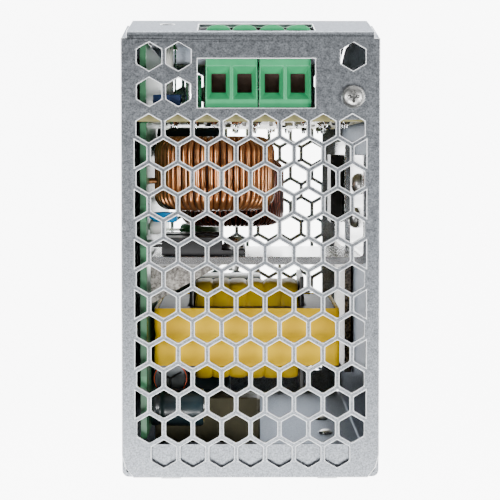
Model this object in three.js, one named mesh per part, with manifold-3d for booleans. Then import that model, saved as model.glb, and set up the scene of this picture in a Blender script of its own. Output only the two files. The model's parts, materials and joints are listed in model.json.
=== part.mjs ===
// A metal-cased power supply for a 35 mm rail, as an assembly of separate pieces. Millimetres, +Z up.
// The origin is on the rail seat, mid-width, level with the rail's centreline. The front faces -Y and
// the rail side +Y. The output end is the top (+Z) and the input end is the bottom (-Z).
import * as THREE from 'three';
import { ConvexGeometry } from 'three/addons/geometries/ConvexGeometry.js';
import { mergeVertices } from 'three/addons/utils/BufferGeometryUtils.js';
import Module from 'manifold-3d';

// Case
const CASE_WIDTH = 63;
const CASE_HEIGHT = 125.2;
const FACE_DEPTH = 109; // from the rear wall's outer face to the front edge of an end face
const FRONT_RISE = 4.5; // how far the raised front stands ahead of the end faces' front edges
const SLOPE_RUN = 22; // height of each sloping strip between an end face and the raised front
const SHEET = 1;
const FIT_GAP = 0.3; // clearance between pieces that seat on or beside each other
const BEND_RADIUS = 1.6;
const FRONT_INSET = 1.3; // the front panel is this much narrower than the end faces, each side
const REAR_CORNER_X = 2.8;
const REAR_CORNER_Y = 5.5;
const FLANGE_DEPTH = 8;
const FLANGE_SIDE_RELIEF = 2.5;
const SIDE_FLANGE = 6; // width of the chassis's flange along its free side, at the input end
const SIDE_FLANGE_RELIEF = 4; // from that flange to the rear wall and to the front edge
const RAIL_STANDOFF = 5.5; // from the rear wall to the rail seat

// Ventilation mesh
const HEX_FLATS = 6;
const HEX_WEB = 1.07;
const MESH_START = 23.5; // from the front edge to the first row's centre
const MESH_REAR_MARGIN = 5.5; // least distance from the last row's centre to the rear
const MESH_SIDE_MARGIN = 3.3;
const EXTRA_HEX_GAP = 1.65; // from the terminal opening to the holes beside it
const EXTRA_HEX_WEB = 1.1;
const EXTRA_HEX_DEPTHS = [6.1, 14.66];

// Cover screws
const COVER_SCREW_RADIUS = 1.5;
const COVER_SCREW_HEAD_RADIUS = 2.9;
const COVER_SCREW_HEAD = 2;
const COVER_SCREW_INSET = 6.6; // from the side of the case
const COVER_SCREW_DEPTH = 15.85;
const COVER_SCREW_LENGTH = 4.5;
const TAB_HALF = 5.5;

// Boards
const BOARD = 1.6;
const BOARD_SIDE_GAP = 6; // from the side of the case to the main board's component side
const BOARD_FRONT_GAP = 2;
const BOARD_REAR_GAP = 9;
const BOARD_END_CLEARANCE = 3.1; // from the end of a board to the outside of the end face
const FRONT_BOARD_START = 20.2;
const FRONT_BOARD_SIDE_GAP = 3.3; // from the side of the case to its free edge
const BOARD_TAB = 5;
const TAB_PROUD = 0.6;
const FILM = 0.4;
const FILM_MARGIN = 4;

// Terminal blocks
const POLE_PITCH = 6.35;
const BLOCK_MARGIN = 0.1;
const BLOCK_HEIGHT = 20.3;
const BLOCK_BUMP = 1.4;
const BLOCK_DEPTH = 12;
const BLOCK_X = -1.9;
const WINDOW_X = -1.4;
const ENTRY_INSET = 2; // from the outside of the end face to the wire-entry face
const MOUTH = [5.6, 8.1];
const WIRE_HOLE = [3.6, 4.7];
const WIRE_AXIS = 7.55; // height of the wire holes above the front board
const FUNNEL = 2.2;
const CLAMP_WALL = 0.8;
const CLAMP_SIDE = 0.6;
const CLAMP_CLEARANCE = 0.3;
const CLAMP_HEAD = 2;
const CLAMP_TRAVEL = 3;
const CLAMP_DEPTH = 6;
const CONTACT_BAR = 1.4; // the room that the fixed contact bar takes under the clamp's head
const TERMINAL_SCREW_RADIUS = 1.4;
const TERMINAL_HEAD_RADIUS = 2;
const TERMINAL_HEAD = 2;
const HEAD_CLEARANCE = 0.15;
const SLOT_WIDTH = 0.7;
const SLOT_DEPTH = 1;
const OUTPUT_BLOCKS = 2;
const OUTPUT_BLOCK_POLES = 2;
const INPUT_POLES = 3;
const WINDOW_MARGIN = 1.3;
const WINDOW_START = 6.65;
const WINDOW_END = 18.5;

// Front adjuster and lamp
const ADJUSTER_INSET = 4.7; // from the main board's component side
const ADJUSTER_DROP = 14; // below the top of the case
const ADJUSTER_HOLE_RADIUS = 1.75;
const ADJUSTER_BODY = 7;
const ADJUSTER_BODY_HEIGHT = 5;
const SPINDLE_RADIUS = 1.5;
const SPINDLE_BACKSET = 2.6;
const SPINDLE_SEAT = 2;
const LAMP_DROP = 30;
const LAMP_RADIUS = 1.5;
const LAMP_LENGTH = 7;
const LEAD_RADIUS = 0.3;

// Rail clip
const RAIL_WIDTH = 35;
const RAIL_LIP = 1.5;
const RAIL_CLEARANCE = 0.35;
const LIP_CLEARANCE = 0.55; // between a hook's tip and the front of the rail's lip
const BRACKET_SHEET = 1.5;
const CHANNEL_HALF = 15.5; // half the width that the latch slides in
const FOOT_EDGE = 26;
const BRACKET_ABOVE_RAIL = 2.5;
const BRACKET_TAIL = 7.85; // bracket left below the window
const WINDOW_ROOM = 8.5; // length of the window beyond the latch's travel
const HOOK_INNER = 18.8;
const HOOK_OUTER = 24.2;
const HOOK_OVERLAP = 2;
const HOOK_REACH = 4.6;
const RIVET_RADIUS = 1.5;
const RIVET_HEAD_RADIUS = 2.6;
const RIVET_HEAD = 1;
const RIVET_X = 21.5;
const RIVET_Z = 11;
const LATCH_SHEET = 1.5;
const LATCH_BACK_GAP = 1.2;
const LATCH_HOOK_HALF = 12;
const PULL_LENGTH = 14; // how far the latch hangs below the bracket
const LATCH_TONGUE = 14.15; // how far the latch reaches above the seat's lower edge
const LATCH_TRAVEL = 4.5;
const PULL_SIDE_INSET = 6;
const PULL_SLOT = [4.5, 4, 7]; // half width, then its start and end above the pull
const SPRING_RADIUS = 1.6;
const SPRING_BORE = 0.8;
const SPRING_WALL = 2.4; // latch left above the spring
const SPRING_STOP = 1.2;
const STOP_HALF = 3;

// Wound parts
const OUTPUT_CHOKE = {
  gap: 0.2, // from the board's component side
  above: 4.3, // room left above it, below the top of the case
  depth: 34.6,
  radius: 15.7,
  thickness: 18.8,
  bore: 5.4,
  wire: 1.9,
};
const FILTER_CHOKE = {
  gap: 5.2,
  above: 44.5,
  depth: 40.5,
  radius: 15,
  thickness: 19,
  bore: 5,
  wire: 1.6,
};
const WINDING_GAP_ANGLE = 0.5;
const TAPE_BOARD_GAP = 0.9;
const CORE_DEPTH = 75.9;
const CORE_DROP = 12.6;
const CORE_WIDTH = 45.2;
const CORE_THICKNESS = 14.6;
const CORE_LENGTH = 40;
const CORE_YOKE = 7.5;
const CORE_LEG = 7;
const CORE_CENTRE_RADIUS = 7;
const TAPE = 0.6;
const BOBBIN_WALL = 1.1;
const FLANGE_LEG_GAP = 1.3;
const BOBBIN_FLANGE_Y = 29;
const WINDING_INSET_Y = 1.5;
const WINDING_CORNER = 6;

// Loose components on the main board
const OUTPUT_CAPS = [
  { depth: 94, drop: 14, radius: 4.8, length: 13.5 },
  { depth: 95, drop: 51, radius: 7, length: 20 },
  { depth: 26.6, drop: 47.6, radius: 4.2, length: 17.5 },
];
const LYING_CAP = { depth: 87.6, drop: 19.5, radius: 4.7, length: 20 };
const BULK_CAPS = { depths: [76, 88], rises: [47.2, 20.2], radius: 11, length: 29 };
const DISC_CAP = { depth: 45.5, drop: 11, radius: 3.3, thickness: 2.5, pin: 0.5 };
const BOX_CAP = { depth: 100.5, drop: 36.6, size: [28, 12, 12] };
const THERMISTOR = { depth: 54, rise: 13.2, radius: 6.5, thickness: 4 };
const PIN_LENGTH = 3.5;
const PIN_SIDES = 8;

// Heat sinks and what is on them
const SINK = 2;
const SINK_REAR = 57.4; // depth of the output heat sink's rear face
const SINK_TOP_DROP = 9;
const SINK_LENGTH = 42;
const SINK_FLANGE_FRONT = 30;
const SINK_BOARD_GAP = 0.6;
const GUSSET = 1.5;
const GUSSET_HEIGHT = 9.9;
const GUSSET_REACH = 18.8;
const INPUT_SINK = { front: 26, rearGap: 15, rise: 7.2, length: 46 };
const PACKAGE = { body: [15, 4.4, 10], tab: 1.2, tabLength: 6 };
const PACKAGE_DROPS = [15.5, 33];
const PACKAGE_LEAD = 3; // from a package's body to the board's component side
const LEAD_PITCH = 2.54;
const LEAD_BACK = 1.9; // from a package's mounting face to its leads
const LEAD_THICK = 0.5;
const LEAD_HALF = 0.4;
const SINK_SCREWS = [{ depth: 37.4, drop: 19 }, { depth: 46.5, drop: 29 }];
const SINK_SCREW_RADIUS = 1.5;
const SINK_SCREW_HEAD_RADIUS = 2.8;
const SINK_SCREW_HEAD = 2.2;
const RECTIFIER = { depth: 40, rise: 41.2, size: [3.6, 20, 15] };

// Facets round a full circle
const HOLE_SIDES = 12;
const SCREW_SIDES = 14;
const ROUND_SIDES = 20;
const RING_SIDES = 28;

// Derived places
const TOP = CASE_HEIGHT / 2;
const HALF_WIDTH = CASE_WIDTH / 2;
const REAR_Y = -RAIL_STANDOFF;
const EDGE_Y = REAR_Y - FACE_DEPTH;
const FRONT_Y = EDGE_Y - FRONT_RISE;
const INNER_TOP = TOP - SHEET - FIT_GAP; // outer face of the chassis's end flanges
const INNER_HALF = HALF_WIDTH - SHEET;
const BOARD_TOP = TOP - BOARD_END_CLEARANCE;
const BOARD_Y = EDGE_Y + FRONT_BOARD_START; // the front board's front face
const MAIN_BOARD_FACE = HALF_WIDTH - BOARD_SIDE_GAP;
const PART_X = MAIN_BOARD_FACE - FIT_GAP; // where board components stand
const FRONT_HALF = HALF_WIDTH - FRONT_INSET;
const BLOCK_WIDTH = OUTPUT_BLOCK_POLES * POLE_PITCH + BLOCK_MARGIN;
const BLOCK_STEP = BLOCK_WIDTH + FIT_GAP;
const INPUT_WIDTH = INPUT_POLES * POLE_PITCH + BLOCK_MARGIN;
const OUTPUT_WIDTH = OUTPUT_BLOCKS * BLOCK_STEP - FIT_GAP;
const FRONT_CUT = ENTRY_INSET + BLOCK_DEPTH + WINDOW_MARGIN; // drop of the front opening's inner end
const SEAT_EDGE = -(RAIL_WIDTH / 2 - RAIL_CLEARANCE); // lower edge of the seat plate
const STOP_TOP = SEAT_EDGE + FIT_GAP + SPRING_STOP; // the spring's fixed stop
const LATCH_WINDOW = LATCH_TRAVEL + WINDOW_ROOM;
const BRACKET_TOP = RAIL_WIDTH / 2 + BRACKET_ABOVE_RAIL;
const BRACKET_BOTTOM = SEAT_EDGE - LATCH_WINDOW - BRACKET_TAIL;
const LATCH_TOP = SEAT_EDGE + LATCH_TONGUE;
const LATCH_BOTTOM = BRACKET_BOTTOM - PULL_LENGTH;
const HEX_PITCH = HEX_FLATS + HEX_WEB;
const ROW_PITCH = (HEX_PITCH * Math.sqrt(3)) / 2;
const MESH_HALF_WIDTH = HALF_WIDTH - MESH_SIDE_MARGIN;
const MESH_COLUMNS = Math.floor((2 * MESH_HALF_WIDTH + HEX_WEB) / HEX_PITCH);
const MESH_ROWS = 1 + Math.floor((FACE_DEPTH - MESH_START - MESH_REAR_MARGIN) / ROW_PITCH);
const FIRST_EXTRA_HEX = windowSpan(OUTPUT_WIDTH)[1] + EXTRA_HEX_GAP + HEX_FLATS / 2;
const EXTRA_HEX_X = [FIRST_EXTRA_HEX, FIRST_EXTRA_HEX + HEX_FLATS + EXTRA_HEX_WEB];
const COVER_SCREW_X = -HALF_WIDTH + COVER_SCREW_INSET;
const ADJUSTER_X = MAIN_BOARD_FACE - ADJUSTER_INSET;
const CORE_X = PART_X - TAPE_BOARD_GAP - TAPE - FIT_GAP - CORE_WIDTH / 2;
const PACKAGE_X = PART_X - PACKAGE_LEAD - PACKAGE.body[0] / 2;

const wasm = await Module();
wasm.setup();

const unit = new THREE.Group();

// Booleans and basic shapes

function solid(geometry) {
  const bare = geometry.clone();
  bare.deleteAttribute('normal');
  bare.deleteAttribute('uv');
  const merged = mergeVertices(bare, 1e-4);
  const mesh = new wasm.Mesh({
    numProp: 3,
    vertProperties: Float32Array.from(merged.attributes.position.array),
    triVerts: Uint32Array.from(merged.index.array),
  });
  return new wasm.Manifold(mesh);
}

function join(solids) {
  return solids.reduce((whole, piece) => whole.add(piece));
}

function cut(whole, cutters) {
  return cutters.reduce((rest, cutter) => rest.subtract(cutter), whole);
}

function block(x0, x1, y0, y1, z0, z1) {
  const box = new THREE.BoxGeometry(x1 - x0, y1 - y0, z1 - z0);
  box.translate((x0 + x1) / 2, (y0 + y1) / 2, (z0 + z1) / 2);
  return solid(box);
}

// Turns a shape made about or along one axis so that the axis becomes x, y or z.
const FROM_Y = {
  x: new THREE.Matrix4().makeRotationZ(-Math.PI / 2),
  y: new THREE.Matrix4(),
  z: new THREE.Matrix4().makeRotationX(Math.PI / 2),
};
const X_AXIS = new THREE.Vector3(1, 0, 0);
const Y_AXIS = new THREE.Vector3(0, 1, 0);
const Z_AXIS = new THREE.Vector3(0, 0, 1);
const FROM_Z = {
  x: new THREE.Matrix4().makeBasis(Y_AXIS, Z_AXIS, X_AXIS),
  y: new THREE.Matrix4().makeBasis(Z_AXIS, X_AXIS, Y_AXIS),
  z: new THREE.Matrix4(),
};

// A round bar along an axis, from one place on it to another; `centre` is its [x, y, z] at place 0.
function rod(axis, radius, from, to, centre, sides = ROUND_SIDES) {
  const bar = new THREE.CylinderGeometry(radius, radius, to - from, sides);
  bar.translate(0, (from + to) / 2, 0);
  bar.applyMatrix4(FROM_Y[axis]);
  bar.translate(...centre);
  return solid(bar);
}

// A turned piece: the profile's [radius, place] points start and end on the axis.
function turned(axis, profile, centre, sides = ROUND_SIDES) {
  const points = profile.map(([radius, place]) => new THREE.Vector2(radius, place));
  const lathe = new THREE.LatheGeometry(points, sides);
  lathe.applyMatrix4(FROM_Y[axis]);
  lathe.translate(...centre);
  return solid(lathe);
}

// A flat outline pushed along an axis: points are [y, z] for x, [z, x] for y and [x, y] for z.
function prism(axis, outline, from, to, holes = []) {
  const shape = new THREE.Shape(outline.map(([u, v]) => new THREE.Vector2(u, v)));
  for (const hole of holes) {
    shape.holes.push(new THREE.Path(hole.map(([u, v]) => new THREE.Vector2(u, v))));
  }
  const bar = new THREE.ExtrudeGeometry(shape, { depth: to - from, bevelEnabled: false });
  bar.translate(0, 0, from);
  bar.applyMatrix4(FROM_Z[axis]);
  return solid(bar);
}

function hull(points) {
  return solid(new ConvexGeometry(points.map(([x, y, z]) => new THREE.Vector3(x, y, z))));
}

// The closed outline of a bent sheet whose outer face runs along `corners`, turning left at each.
function bentSheet(corners, outerRadius, thickness, steps = 5) {
  const outer = [];
  const inner = [];
  const heading = (a, b) => new THREE.Vector2(b[0] - a[0], b[1] - a[1]).normalize();
  const leftAngle = (direction) => direction.angle() + Math.PI / 2;
  corners.forEach((corner, index) => {
    const first = index === 0;
    const last = index === corners.length - 1;
    const before = first ? null : leftAngle(heading(corners[index - 1], corner));
    let after = last ? before : leftAngle(heading(corner, corners[index + 1]));
    const start = first ? after : before;
    if (after < start) {
      after += 2 * Math.PI;
    }
    const turn = after - start;
    const radius = first || last ? 0 : outerRadius;
    const toCentre = radius / Math.cos(turn / 2);
    const middle = start + turn / 2;
    const centre = [corner[0] + toCentre * Math.cos(middle), corner[1] + toCentre * Math.sin(middle)];
    const count = first || last ? 0 : steps;
    for (let step = 0; step <= count; step += 1) {
      const angle = count ? start + (turn * step) / count : start;
      outer.push([centre[0] - radius * Math.cos(angle), centre[1] - radius * Math.sin(angle)]);
      const deep = radius - thickness;
      inner.push([centre[0] - deep * Math.cos(angle), centre[1] - deep * Math.sin(angle)]);
    }
  });
  return [...outer, ...inner.reverse()];
}

function add(name, piece, finish, parent = unit) {
  const mesh = piece.getMesh();
  const geometry = new THREE.BufferGeometry();
  geometry.setAttribute('position', new THREE.BufferAttribute(new Float32Array(mesh.vertProperties), 3));
  geometry.setIndex(new THREE.BufferAttribute(new Uint32Array(mesh.triVerts), 1));
  geometry.computeVertexNormals();
  const [color, roughness, metalness] = finish;
  const material = new THREE.MeshStandardMaterial({ color, roughness, metalness });
  const node = new THREE.Mesh(geometry, material);
  node.name = name;
  parent.add(node);
}

const ZINC = [0xc4c8cc, 0.35, 0.9];
const STEEL = [0xb0b2b4, 0.3, 0.95];
const ALUMINIUM = [0xcfd1d3, 0.3, 0.95];
const GREEN_PLASTIC = [0x4fa870, 0.45, 0];
const BLACK_PLASTIC = [0x151515, 0.5, 0];
const BOARD_GREEN = [0x2f5a3a, 0.5, 0];
const COPPER = [0xb8743c, 0.3, 0.6];
const FERRITE = [0x2a2a2c, 0.7, 0];
const YELLOW_TAPE = [0xf2d23a, 0.45, 0];
const WHITE_PLASTIC = [0xe8e6de, 0.5, 0];

// Case

function hexagon(x, y) {
  const radius = HEX_FLATS / Math.sqrt(3);
  const corners = [];
  for (let side = 0; side < 6; side += 1) {
    const angle = Math.PI / 2 + (side * Math.PI) / 3;
    corners.push([x + radius * Math.cos(angle), y + radius * Math.sin(angle)]);
  }
  return corners;
}

// A hexagon at the mesh's side edge keeps only its inner half.
function halfHexagon(x, y) {
  const limit = MESH_HALF_WIDTH;
  const centreCut = Math.min(Math.abs(x), limit);
  const side = Math.sign(x);
  const radius = HEX_FLATS / Math.sqrt(3);
  const inner = Math.abs(x) - HEX_FLATS / 2;
  const rise = radius - (Math.abs(x) - centreCut) / Math.sqrt(3);
  return [
    [side * inner, y - radius / 2],
    [side * centreCut, y - rise],
    [side * centreCut, y + rise],
    [side * inner, y + radius / 2],
  ];
}

function meshHoles() {
  const holes = [];
  for (let row = 0; row < MESH_ROWS; row += 1) {
    const y = EDGE_Y + MESH_START + row * ROW_PITCH;
    const count = row % 2 ? MESH_COLUMNS - 1 : MESH_COLUMNS;
    for (let column = 0; column < count; column += 1) {
      holes.push(hexagon((column - (count - 1) / 2) * HEX_PITCH, y));
    }
    if (row % 2 && row < MESH_ROWS - 1) {
      holes.push(halfHexagon((MESH_COLUMNS / 2) * HEX_PITCH, y));
      holes.push(halfHexagon((-MESH_COLUMNS / 2) * HEX_PITCH, y));
    }
  }
  for (const x of EXTRA_HEX_X) {
    for (const depth of EXTRA_HEX_DEPTHS) {
      holes.push(hexagon(x, EDGE_Y + depth));
    }
  }
  holes.push(hexagon(COVER_SCREW_X, EDGE_Y + EXTRA_HEX_DEPTHS[0]));
  return holes;
}

function windowSpan(width) {
  const half = width / 2 + WINDOW_MARGIN;
  return [WINDOW_X - half, WINDOW_X + half];
}

function endFace(width, z0) {
  const [left, right] = windowSpan(width);
  const front = EDGE_Y + BEND_RADIUS;
  const outline = [
    [-HALF_WIDTH, front],
    [HALF_WIDTH, front],
    [HALF_WIDTH, REAR_Y - REAR_CORNER_Y],
    [HALF_WIDTH - REAR_CORNER_X * 0.3, REAR_Y - REAR_CORNER_Y * 0.45],
    [HALF_WIDTH - REAR_CORNER_X, REAR_Y],
    [-HALF_WIDTH + REAR_CORNER_X, REAR_Y],
    [-HALF_WIDTH + REAR_CORNER_X * 0.3, REAR_Y - REAR_CORNER_Y * 0.45],
    [-HALF_WIDTH, REAR_Y - REAR_CORNER_Y],
  ];
  const opening = [
    [left, EDGE_Y + WINDOW_START],
    [right, EDGE_Y + WINDOW_START],
    [right, EDGE_Y + WINDOW_END],
    [left, EDGE_Y + WINDOW_END],
  ];
  return prism('z', outline, z0, z0 + SHEET, [opening, ...meshHoles()]);
}

function screwTapHole(side) {
  const place = [COVER_SCREW_X, EDGE_Y + COVER_SCREW_DEPTH, 0];
  const radius = COVER_SCREW_RADIUS + FIT_GAP / 2;
  const ends = [side * (TOP + SHEET), side * (TOP - 3 * SHEET - FIT_GAP)].sort((a, b) => a - b);
  return rod('z', radius, ends[0], ends[1], place, HOLE_SIDES);
}

function makeCover() {
  const corners = [
    [EDGE_Y + 4 * BEND_RADIUS, TOP],
    [EDGE_Y, TOP],
    [FRONT_Y, TOP - SLOPE_RUN],
    [FRONT_Y, -TOP + SLOPE_RUN],
    [EDGE_Y, -TOP],
    [EDGE_Y + 4 * BEND_RADIUS, -TOP],
  ];
  const front = prism('x', bentSheet(corners, BEND_RADIUS, SHEET), -FRONT_HALF, FRONT_HALF);
  const faces = [endFace(OUTPUT_WIDTH, TOP - SHEET), endFace(INPUT_WIDTH, -TOP)];
  const behind = EDGE_Y + BEND_RADIUS + SHEET;
  const [outLeft, outRight] = windowSpan(OUTPUT_WIDTH);
  const [inLeft, inRight] = windowSpan(INPUT_WIDTH);
  const topOfCut = TOP - BEND_RADIUS;
  const ahead = FRONT_Y - SHEET;
  const adjuster = [ADJUSTER_X, 0, TOP - ADJUSTER_DROP];
  const lamp = [ADJUSTER_X, 0, TOP - LAMP_DROP];
  return cut(join([front, ...faces]), [
    hexagonCutters(TOP - 2 * SHEET, TOP + SHEET),
    hexagonCutters(-TOP - SHEET, -TOP + 2 * SHEET),
    block(outLeft, outRight, ahead, behind, TOP - FRONT_CUT, topOfCut),
    block(inLeft, inRight, ahead, behind, -topOfCut, -TOP + FRONT_CUT),
    rod('y', ADJUSTER_HOLE_RADIUS, ahead, behind, adjuster, ROUND_SIDES),
    rod('y', LAMP_RADIUS + FIT_GAP, ahead, behind, lamp, ROUND_SIDES),
    screwTapHole(1),
    screwTapHole(-1),
  ]);
}

// The front strip laps over the foremost holes, so they are cut through it as well.
function hexagonCutters(z0, z1) {
  const places = [...EXTRA_HEX_X, COVER_SCREW_X];
  return join(places.map((x) => prism('z', hexagon(x, EDGE_Y + EXTRA_HEX_DEPTHS[0]), z0, z1)));
}

function makeChassis() {
  const wallFront = FRONT_Y - SHEET;
  const corners = [
    [HALF_WIDTH, wallFront],
    [HALF_WIDTH, REAR_Y],
    [-HALF_WIDTH, REAR_Y],
    [-HALF_WIDTH, wallFront],
  ];
  const wrap = prism('z', bentSheet(corners, BEND_RADIUS, SHEET), -INNER_TOP, INNER_TOP);
  const behindFront = SHEET + FIT_GAP;
  const side = [
    [REAR_Y + SHEET, INNER_TOP],
    [EDGE_Y + BEND_RADIUS, INNER_TOP],
    [EDGE_Y + behindFront, INNER_TOP - BEND_RADIUS],
    [FRONT_Y + behindFront, TOP - SLOPE_RUN],
    [FRONT_Y + behindFront, -TOP + SLOPE_RUN],
    [EDGE_Y + behindFront, -INNER_TOP + BEND_RADIUS],
    [EDGE_Y + BEND_RADIUS, -INNER_TOP],
    [REAR_Y + SHEET, -INNER_TOP],
  ];
  const walls = wrap.intersect(prism('x', side, -CASE_WIDTH, CASE_WIDTH));
  const flangeHalf = INNER_HALF - FLANGE_SIDE_RELIEF;
  const rearInside = REAR_Y - SHEET / 2;
  const tabY = EDGE_Y + COVER_SCREW_DEPTH;
  const flanges = [1, -1].flatMap((end) => {
    const z = [end * INNER_TOP, end * (INNER_TOP - SHEET)].sort((a, b) => a - b);
    return [
      block(-flangeHalf, flangeHalf, REAR_Y - FLANGE_DEPTH, rearInside, z[0], z[1]),
      block(-HALF_WIDTH + SHEET / 2, COVER_SCREW_X + TAB_HALF, tabY - TAB_HALF, tabY + TAB_HALF, z[0], z[1]),
    ];
  });
  flanges.push(block(
    -HALF_WIDTH + SHEET / 2,
    -INNER_HALF + SIDE_FLANGE,
    EDGE_Y + SIDE_FLANGE_RELIEF,
    REAR_Y - SIDE_FLANGE_RELIEF,
    -INNER_TOP,
    -INNER_TOP + SHEET,
  ));
  const holes = rivetPlaces().map(([x, z]) => {
    return rod('y', RIVET_RADIUS + FIT_GAP / 2, REAR_Y - 2 * SHEET, REAR_Y + SHEET, [x, 0, z], HOLE_SIDES);
  });
  for (const { depth, drop } of SINK_SCREWS) {
    const radius = SINK_SCREW_RADIUS + FIT_GAP / 2;
    const place = [0, EDGE_Y + depth, TOP - drop];
    holes.push(rod('x', radius, -HALF_WIDTH - SHEET, -HALF_WIDTH + 2 * SHEET, place, HOLE_SIDES));
  }
  return cut(join([walls, ...flanges]), [...holes, screwTapHole(1), screwTapHole(-1)]);
}

// A pan-head screw with a cross recess; it points along -Z below its head at height z.
function panScrew() {
  const rim = COVER_SCREW_HEAD_RADIUS;
  const profile = [
    [0, -COVER_SCREW_LENGTH],
    [COVER_SCREW_RADIUS - 0.3, -COVER_SCREW_LENGTH],
    [COVER_SCREW_RADIUS, -COVER_SCREW_LENGTH + 0.4],
    [COVER_SCREW_RADIUS, 0.05],
    [rim, 0.05],
    [rim, COVER_SCREW_HEAD * 0.45],
    [rim * 0.82, COVER_SCREW_HEAD * 0.85],
    [rim * 0.5, COVER_SCREW_HEAD],
    [0, COVER_SCREW_HEAD],
  ];
  const arm = rim * 0.55;
  const half = 0.42;
  const floor = COVER_SCREW_HEAD * 0.35;
  const above = COVER_SCREW_HEAD + 1;
  return cut(turned('z', profile, [0, 0, 0], SCREW_SIDES), [
    block(-arm, arm, -half, half, floor, above),
    block(-half, half, -arm, arm, floor, above),
  ]);
}

function addCoverScrews() {
  for (const [name, end] of [['top', 1], ['bottom', -1]]) {
    const holder = new THREE.Group();
    holder.position.set(COVER_SCREW_X, EDGE_Y + COVER_SCREW_DEPTH, end * TOP);
    holder.rotation.x = end > 0 ? 0 : Math.PI;
    unit.add(holder);
    add(`cover_screw_${name}`, panScrew(), STEEL, holder);
  }
}

function makeFilm() {
  const outer = INNER_HALF - FIT_GAP;
  const top = BOARD_TOP - FIT_GAP;
  const y0 = EDGE_Y + FILM_MARGIN;
  return block(outer - FILM, outer, y0, REAR_Y - SHEET - FILM_MARGIN, -top, top);
}

// Rail clip

function rivetPlaces() {
  return [[RIVET_X, RIVET_Z], [-RIVET_X, RIVET_Z], [RIVET_X, -RIVET_Z], [-RIVET_X, -RIVET_Z]];
}

// A hook's side view in [y, z], its tip pointing down onto a rail's lip from above.
function hookOutline(baseY, edgeZ) {
  const inner = edgeZ + RAIL_CLEARANCE;
  const outer = inner + BRACKET_SHEET;
  const lipFront = RAIL_LIP + LIP_CLEARANCE;
  return [
    [baseY, inner],
    [lipFront, inner],
    [lipFront, edgeZ - HOOK_OVERLAP],
    [lipFront + 0.8, edgeZ - HOOK_OVERLAP],
    [HOOK_REACH, edgeZ - 0.4],
    [HOOK_REACH, outer - 0.8],
    [HOOK_REACH - 1, outer],
    [baseY, outer],
  ];
}

function makeBracket() {
  const footTop = BRACKET_TOP;
  const legInner = CHANNEL_HALF;
  const legOuter = CHANNEL_HALF + BRACKET_SHEET;
  const pieces = [block(-legOuter, legOuter, -BRACKET_SHEET, 0, BRACKET_BOTTOM, footTop)];
  for (const side of [1, -1]) {
    const leg = [side * legInner, side * legOuter].sort((a, b) => a - b);
    const foot = [side * legInner, side * FOOT_EDGE].sort((a, b) => a - b);
    const hook = [side * HOOK_INNER, side * HOOK_OUTER].sort((a, b) => a - b);
    pieces.push(block(leg[0], leg[1], REAR_Y, 0, BRACKET_BOTTOM, footTop));
    pieces.push(block(foot[0], foot[1], REAR_Y, REAR_Y + BRACKET_SHEET, BRACKET_BOTTOM, footTop));
    pieces.push(prism('x', hookOutline(REAR_Y, RAIL_WIDTH / 2), hook[0], hook[1]));
  }
  const stopY = [REAR_Y + FIT_GAP, -BRACKET_SHEET / 2];
  const stop = block(-STOP_HALF, STOP_HALF, ...stopY, STOP_TOP - SPRING_STOP, STOP_TOP);
  const window = block(-legInner, legInner, -2 * BRACKET_SHEET, 1, SEAT_EDGE - LATCH_WINDOW, SEAT_EDGE);
  const holes = rivetPlaces().map(([x, z]) => {
    const radius = RIVET_RADIUS + FIT_GAP / 2;
    return rod('y', radius, REAR_Y - SHEET, REAR_Y + 2 * BRACKET_SHEET, [x, 0, z], HOLE_SIDES);
  });
  return cut(join([...pieces, stop]), [window, ...holes]);
}

function makeRivet() {
  const head = REAR_Y + BRACKET_SHEET;
  const tail = REAR_Y - SHEET;
  const wide = RIVET_RADIUS + 0.5;
  return turned('y', [
    [0, tail - RIVET_HEAD],
    [wide * 0.7, tail - RIVET_HEAD],
    [wide, tail - 0.05],
    [RIVET_RADIUS, tail - 0.05],
    [RIVET_RADIUS, head + 0.05],
    [RIVET_HEAD_RADIUS, head + 0.05],
    [RIVET_HEAD_RADIUS * 0.85, head + RIVET_HEAD * 0.7],
    [RIVET_HEAD_RADIUS * 0.45, head + RIVET_HEAD],
    [0, head + RIVET_HEAD],
  ], [0, 0, 0], HOLE_SIDES);
}

function makeLatch() {
  const back = REAR_Y + LATCH_BACK_GAP;
  const face = back + LATCH_SHEET;
  const half = CHANNEL_HALF - FIT_GAP;
  const hook = prism('x', latchHook(back), -LATCH_HOOK_HALF, LATCH_HOOK_HALF);
  const plate = block(-half, half, back, face, LATCH_BOTTOM, LATCH_TOP);
  const pullHalf = half - PULL_SIDE_INSET;
  const pull = block(-pullHalf, pullHalf, back, 0, LATCH_BOTTOM, LATCH_BOTTOM + LATCH_SHEET);
  const springTop = LATCH_TOP - SPRING_WALL;
  const room = STOP_HALF + FIT_GAP;
  const low = STOP_TOP - SPRING_STOP - FIT_GAP;
  const window = block(-room, room, back - 1, face + 1, low, springTop);
  const [wide, slotLow, slotHigh] = PULL_SLOT;
  const slot = block(-wide, wide, back - 1, face + 1, LATCH_BOTTOM + slotLow, LATCH_BOTTOM + slotHigh);
  return cut(join([plate, hook, pull]), [window, slot]);
}

function latchHook(back) {
  return hookOutline(back, RAIL_WIDTH / 2).map(([y, z]) => [y, -z]);
}

function makeSpring() {
  const top = LATCH_TOP - SPRING_WALL - FIT_GAP;
  const place = [0, (REAR_Y - BRACKET_SHEET) / 2, 0];
  const foot = STOP_TOP + FIT_GAP;
  const outer = rod('z', SPRING_RADIUS, foot, top, place, HOLE_SIDES);
  return outer.subtract(rod('z', SPRING_BORE, foot - 1, top + 1, place, HOLE_SIDES));
}

// Boards

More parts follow.
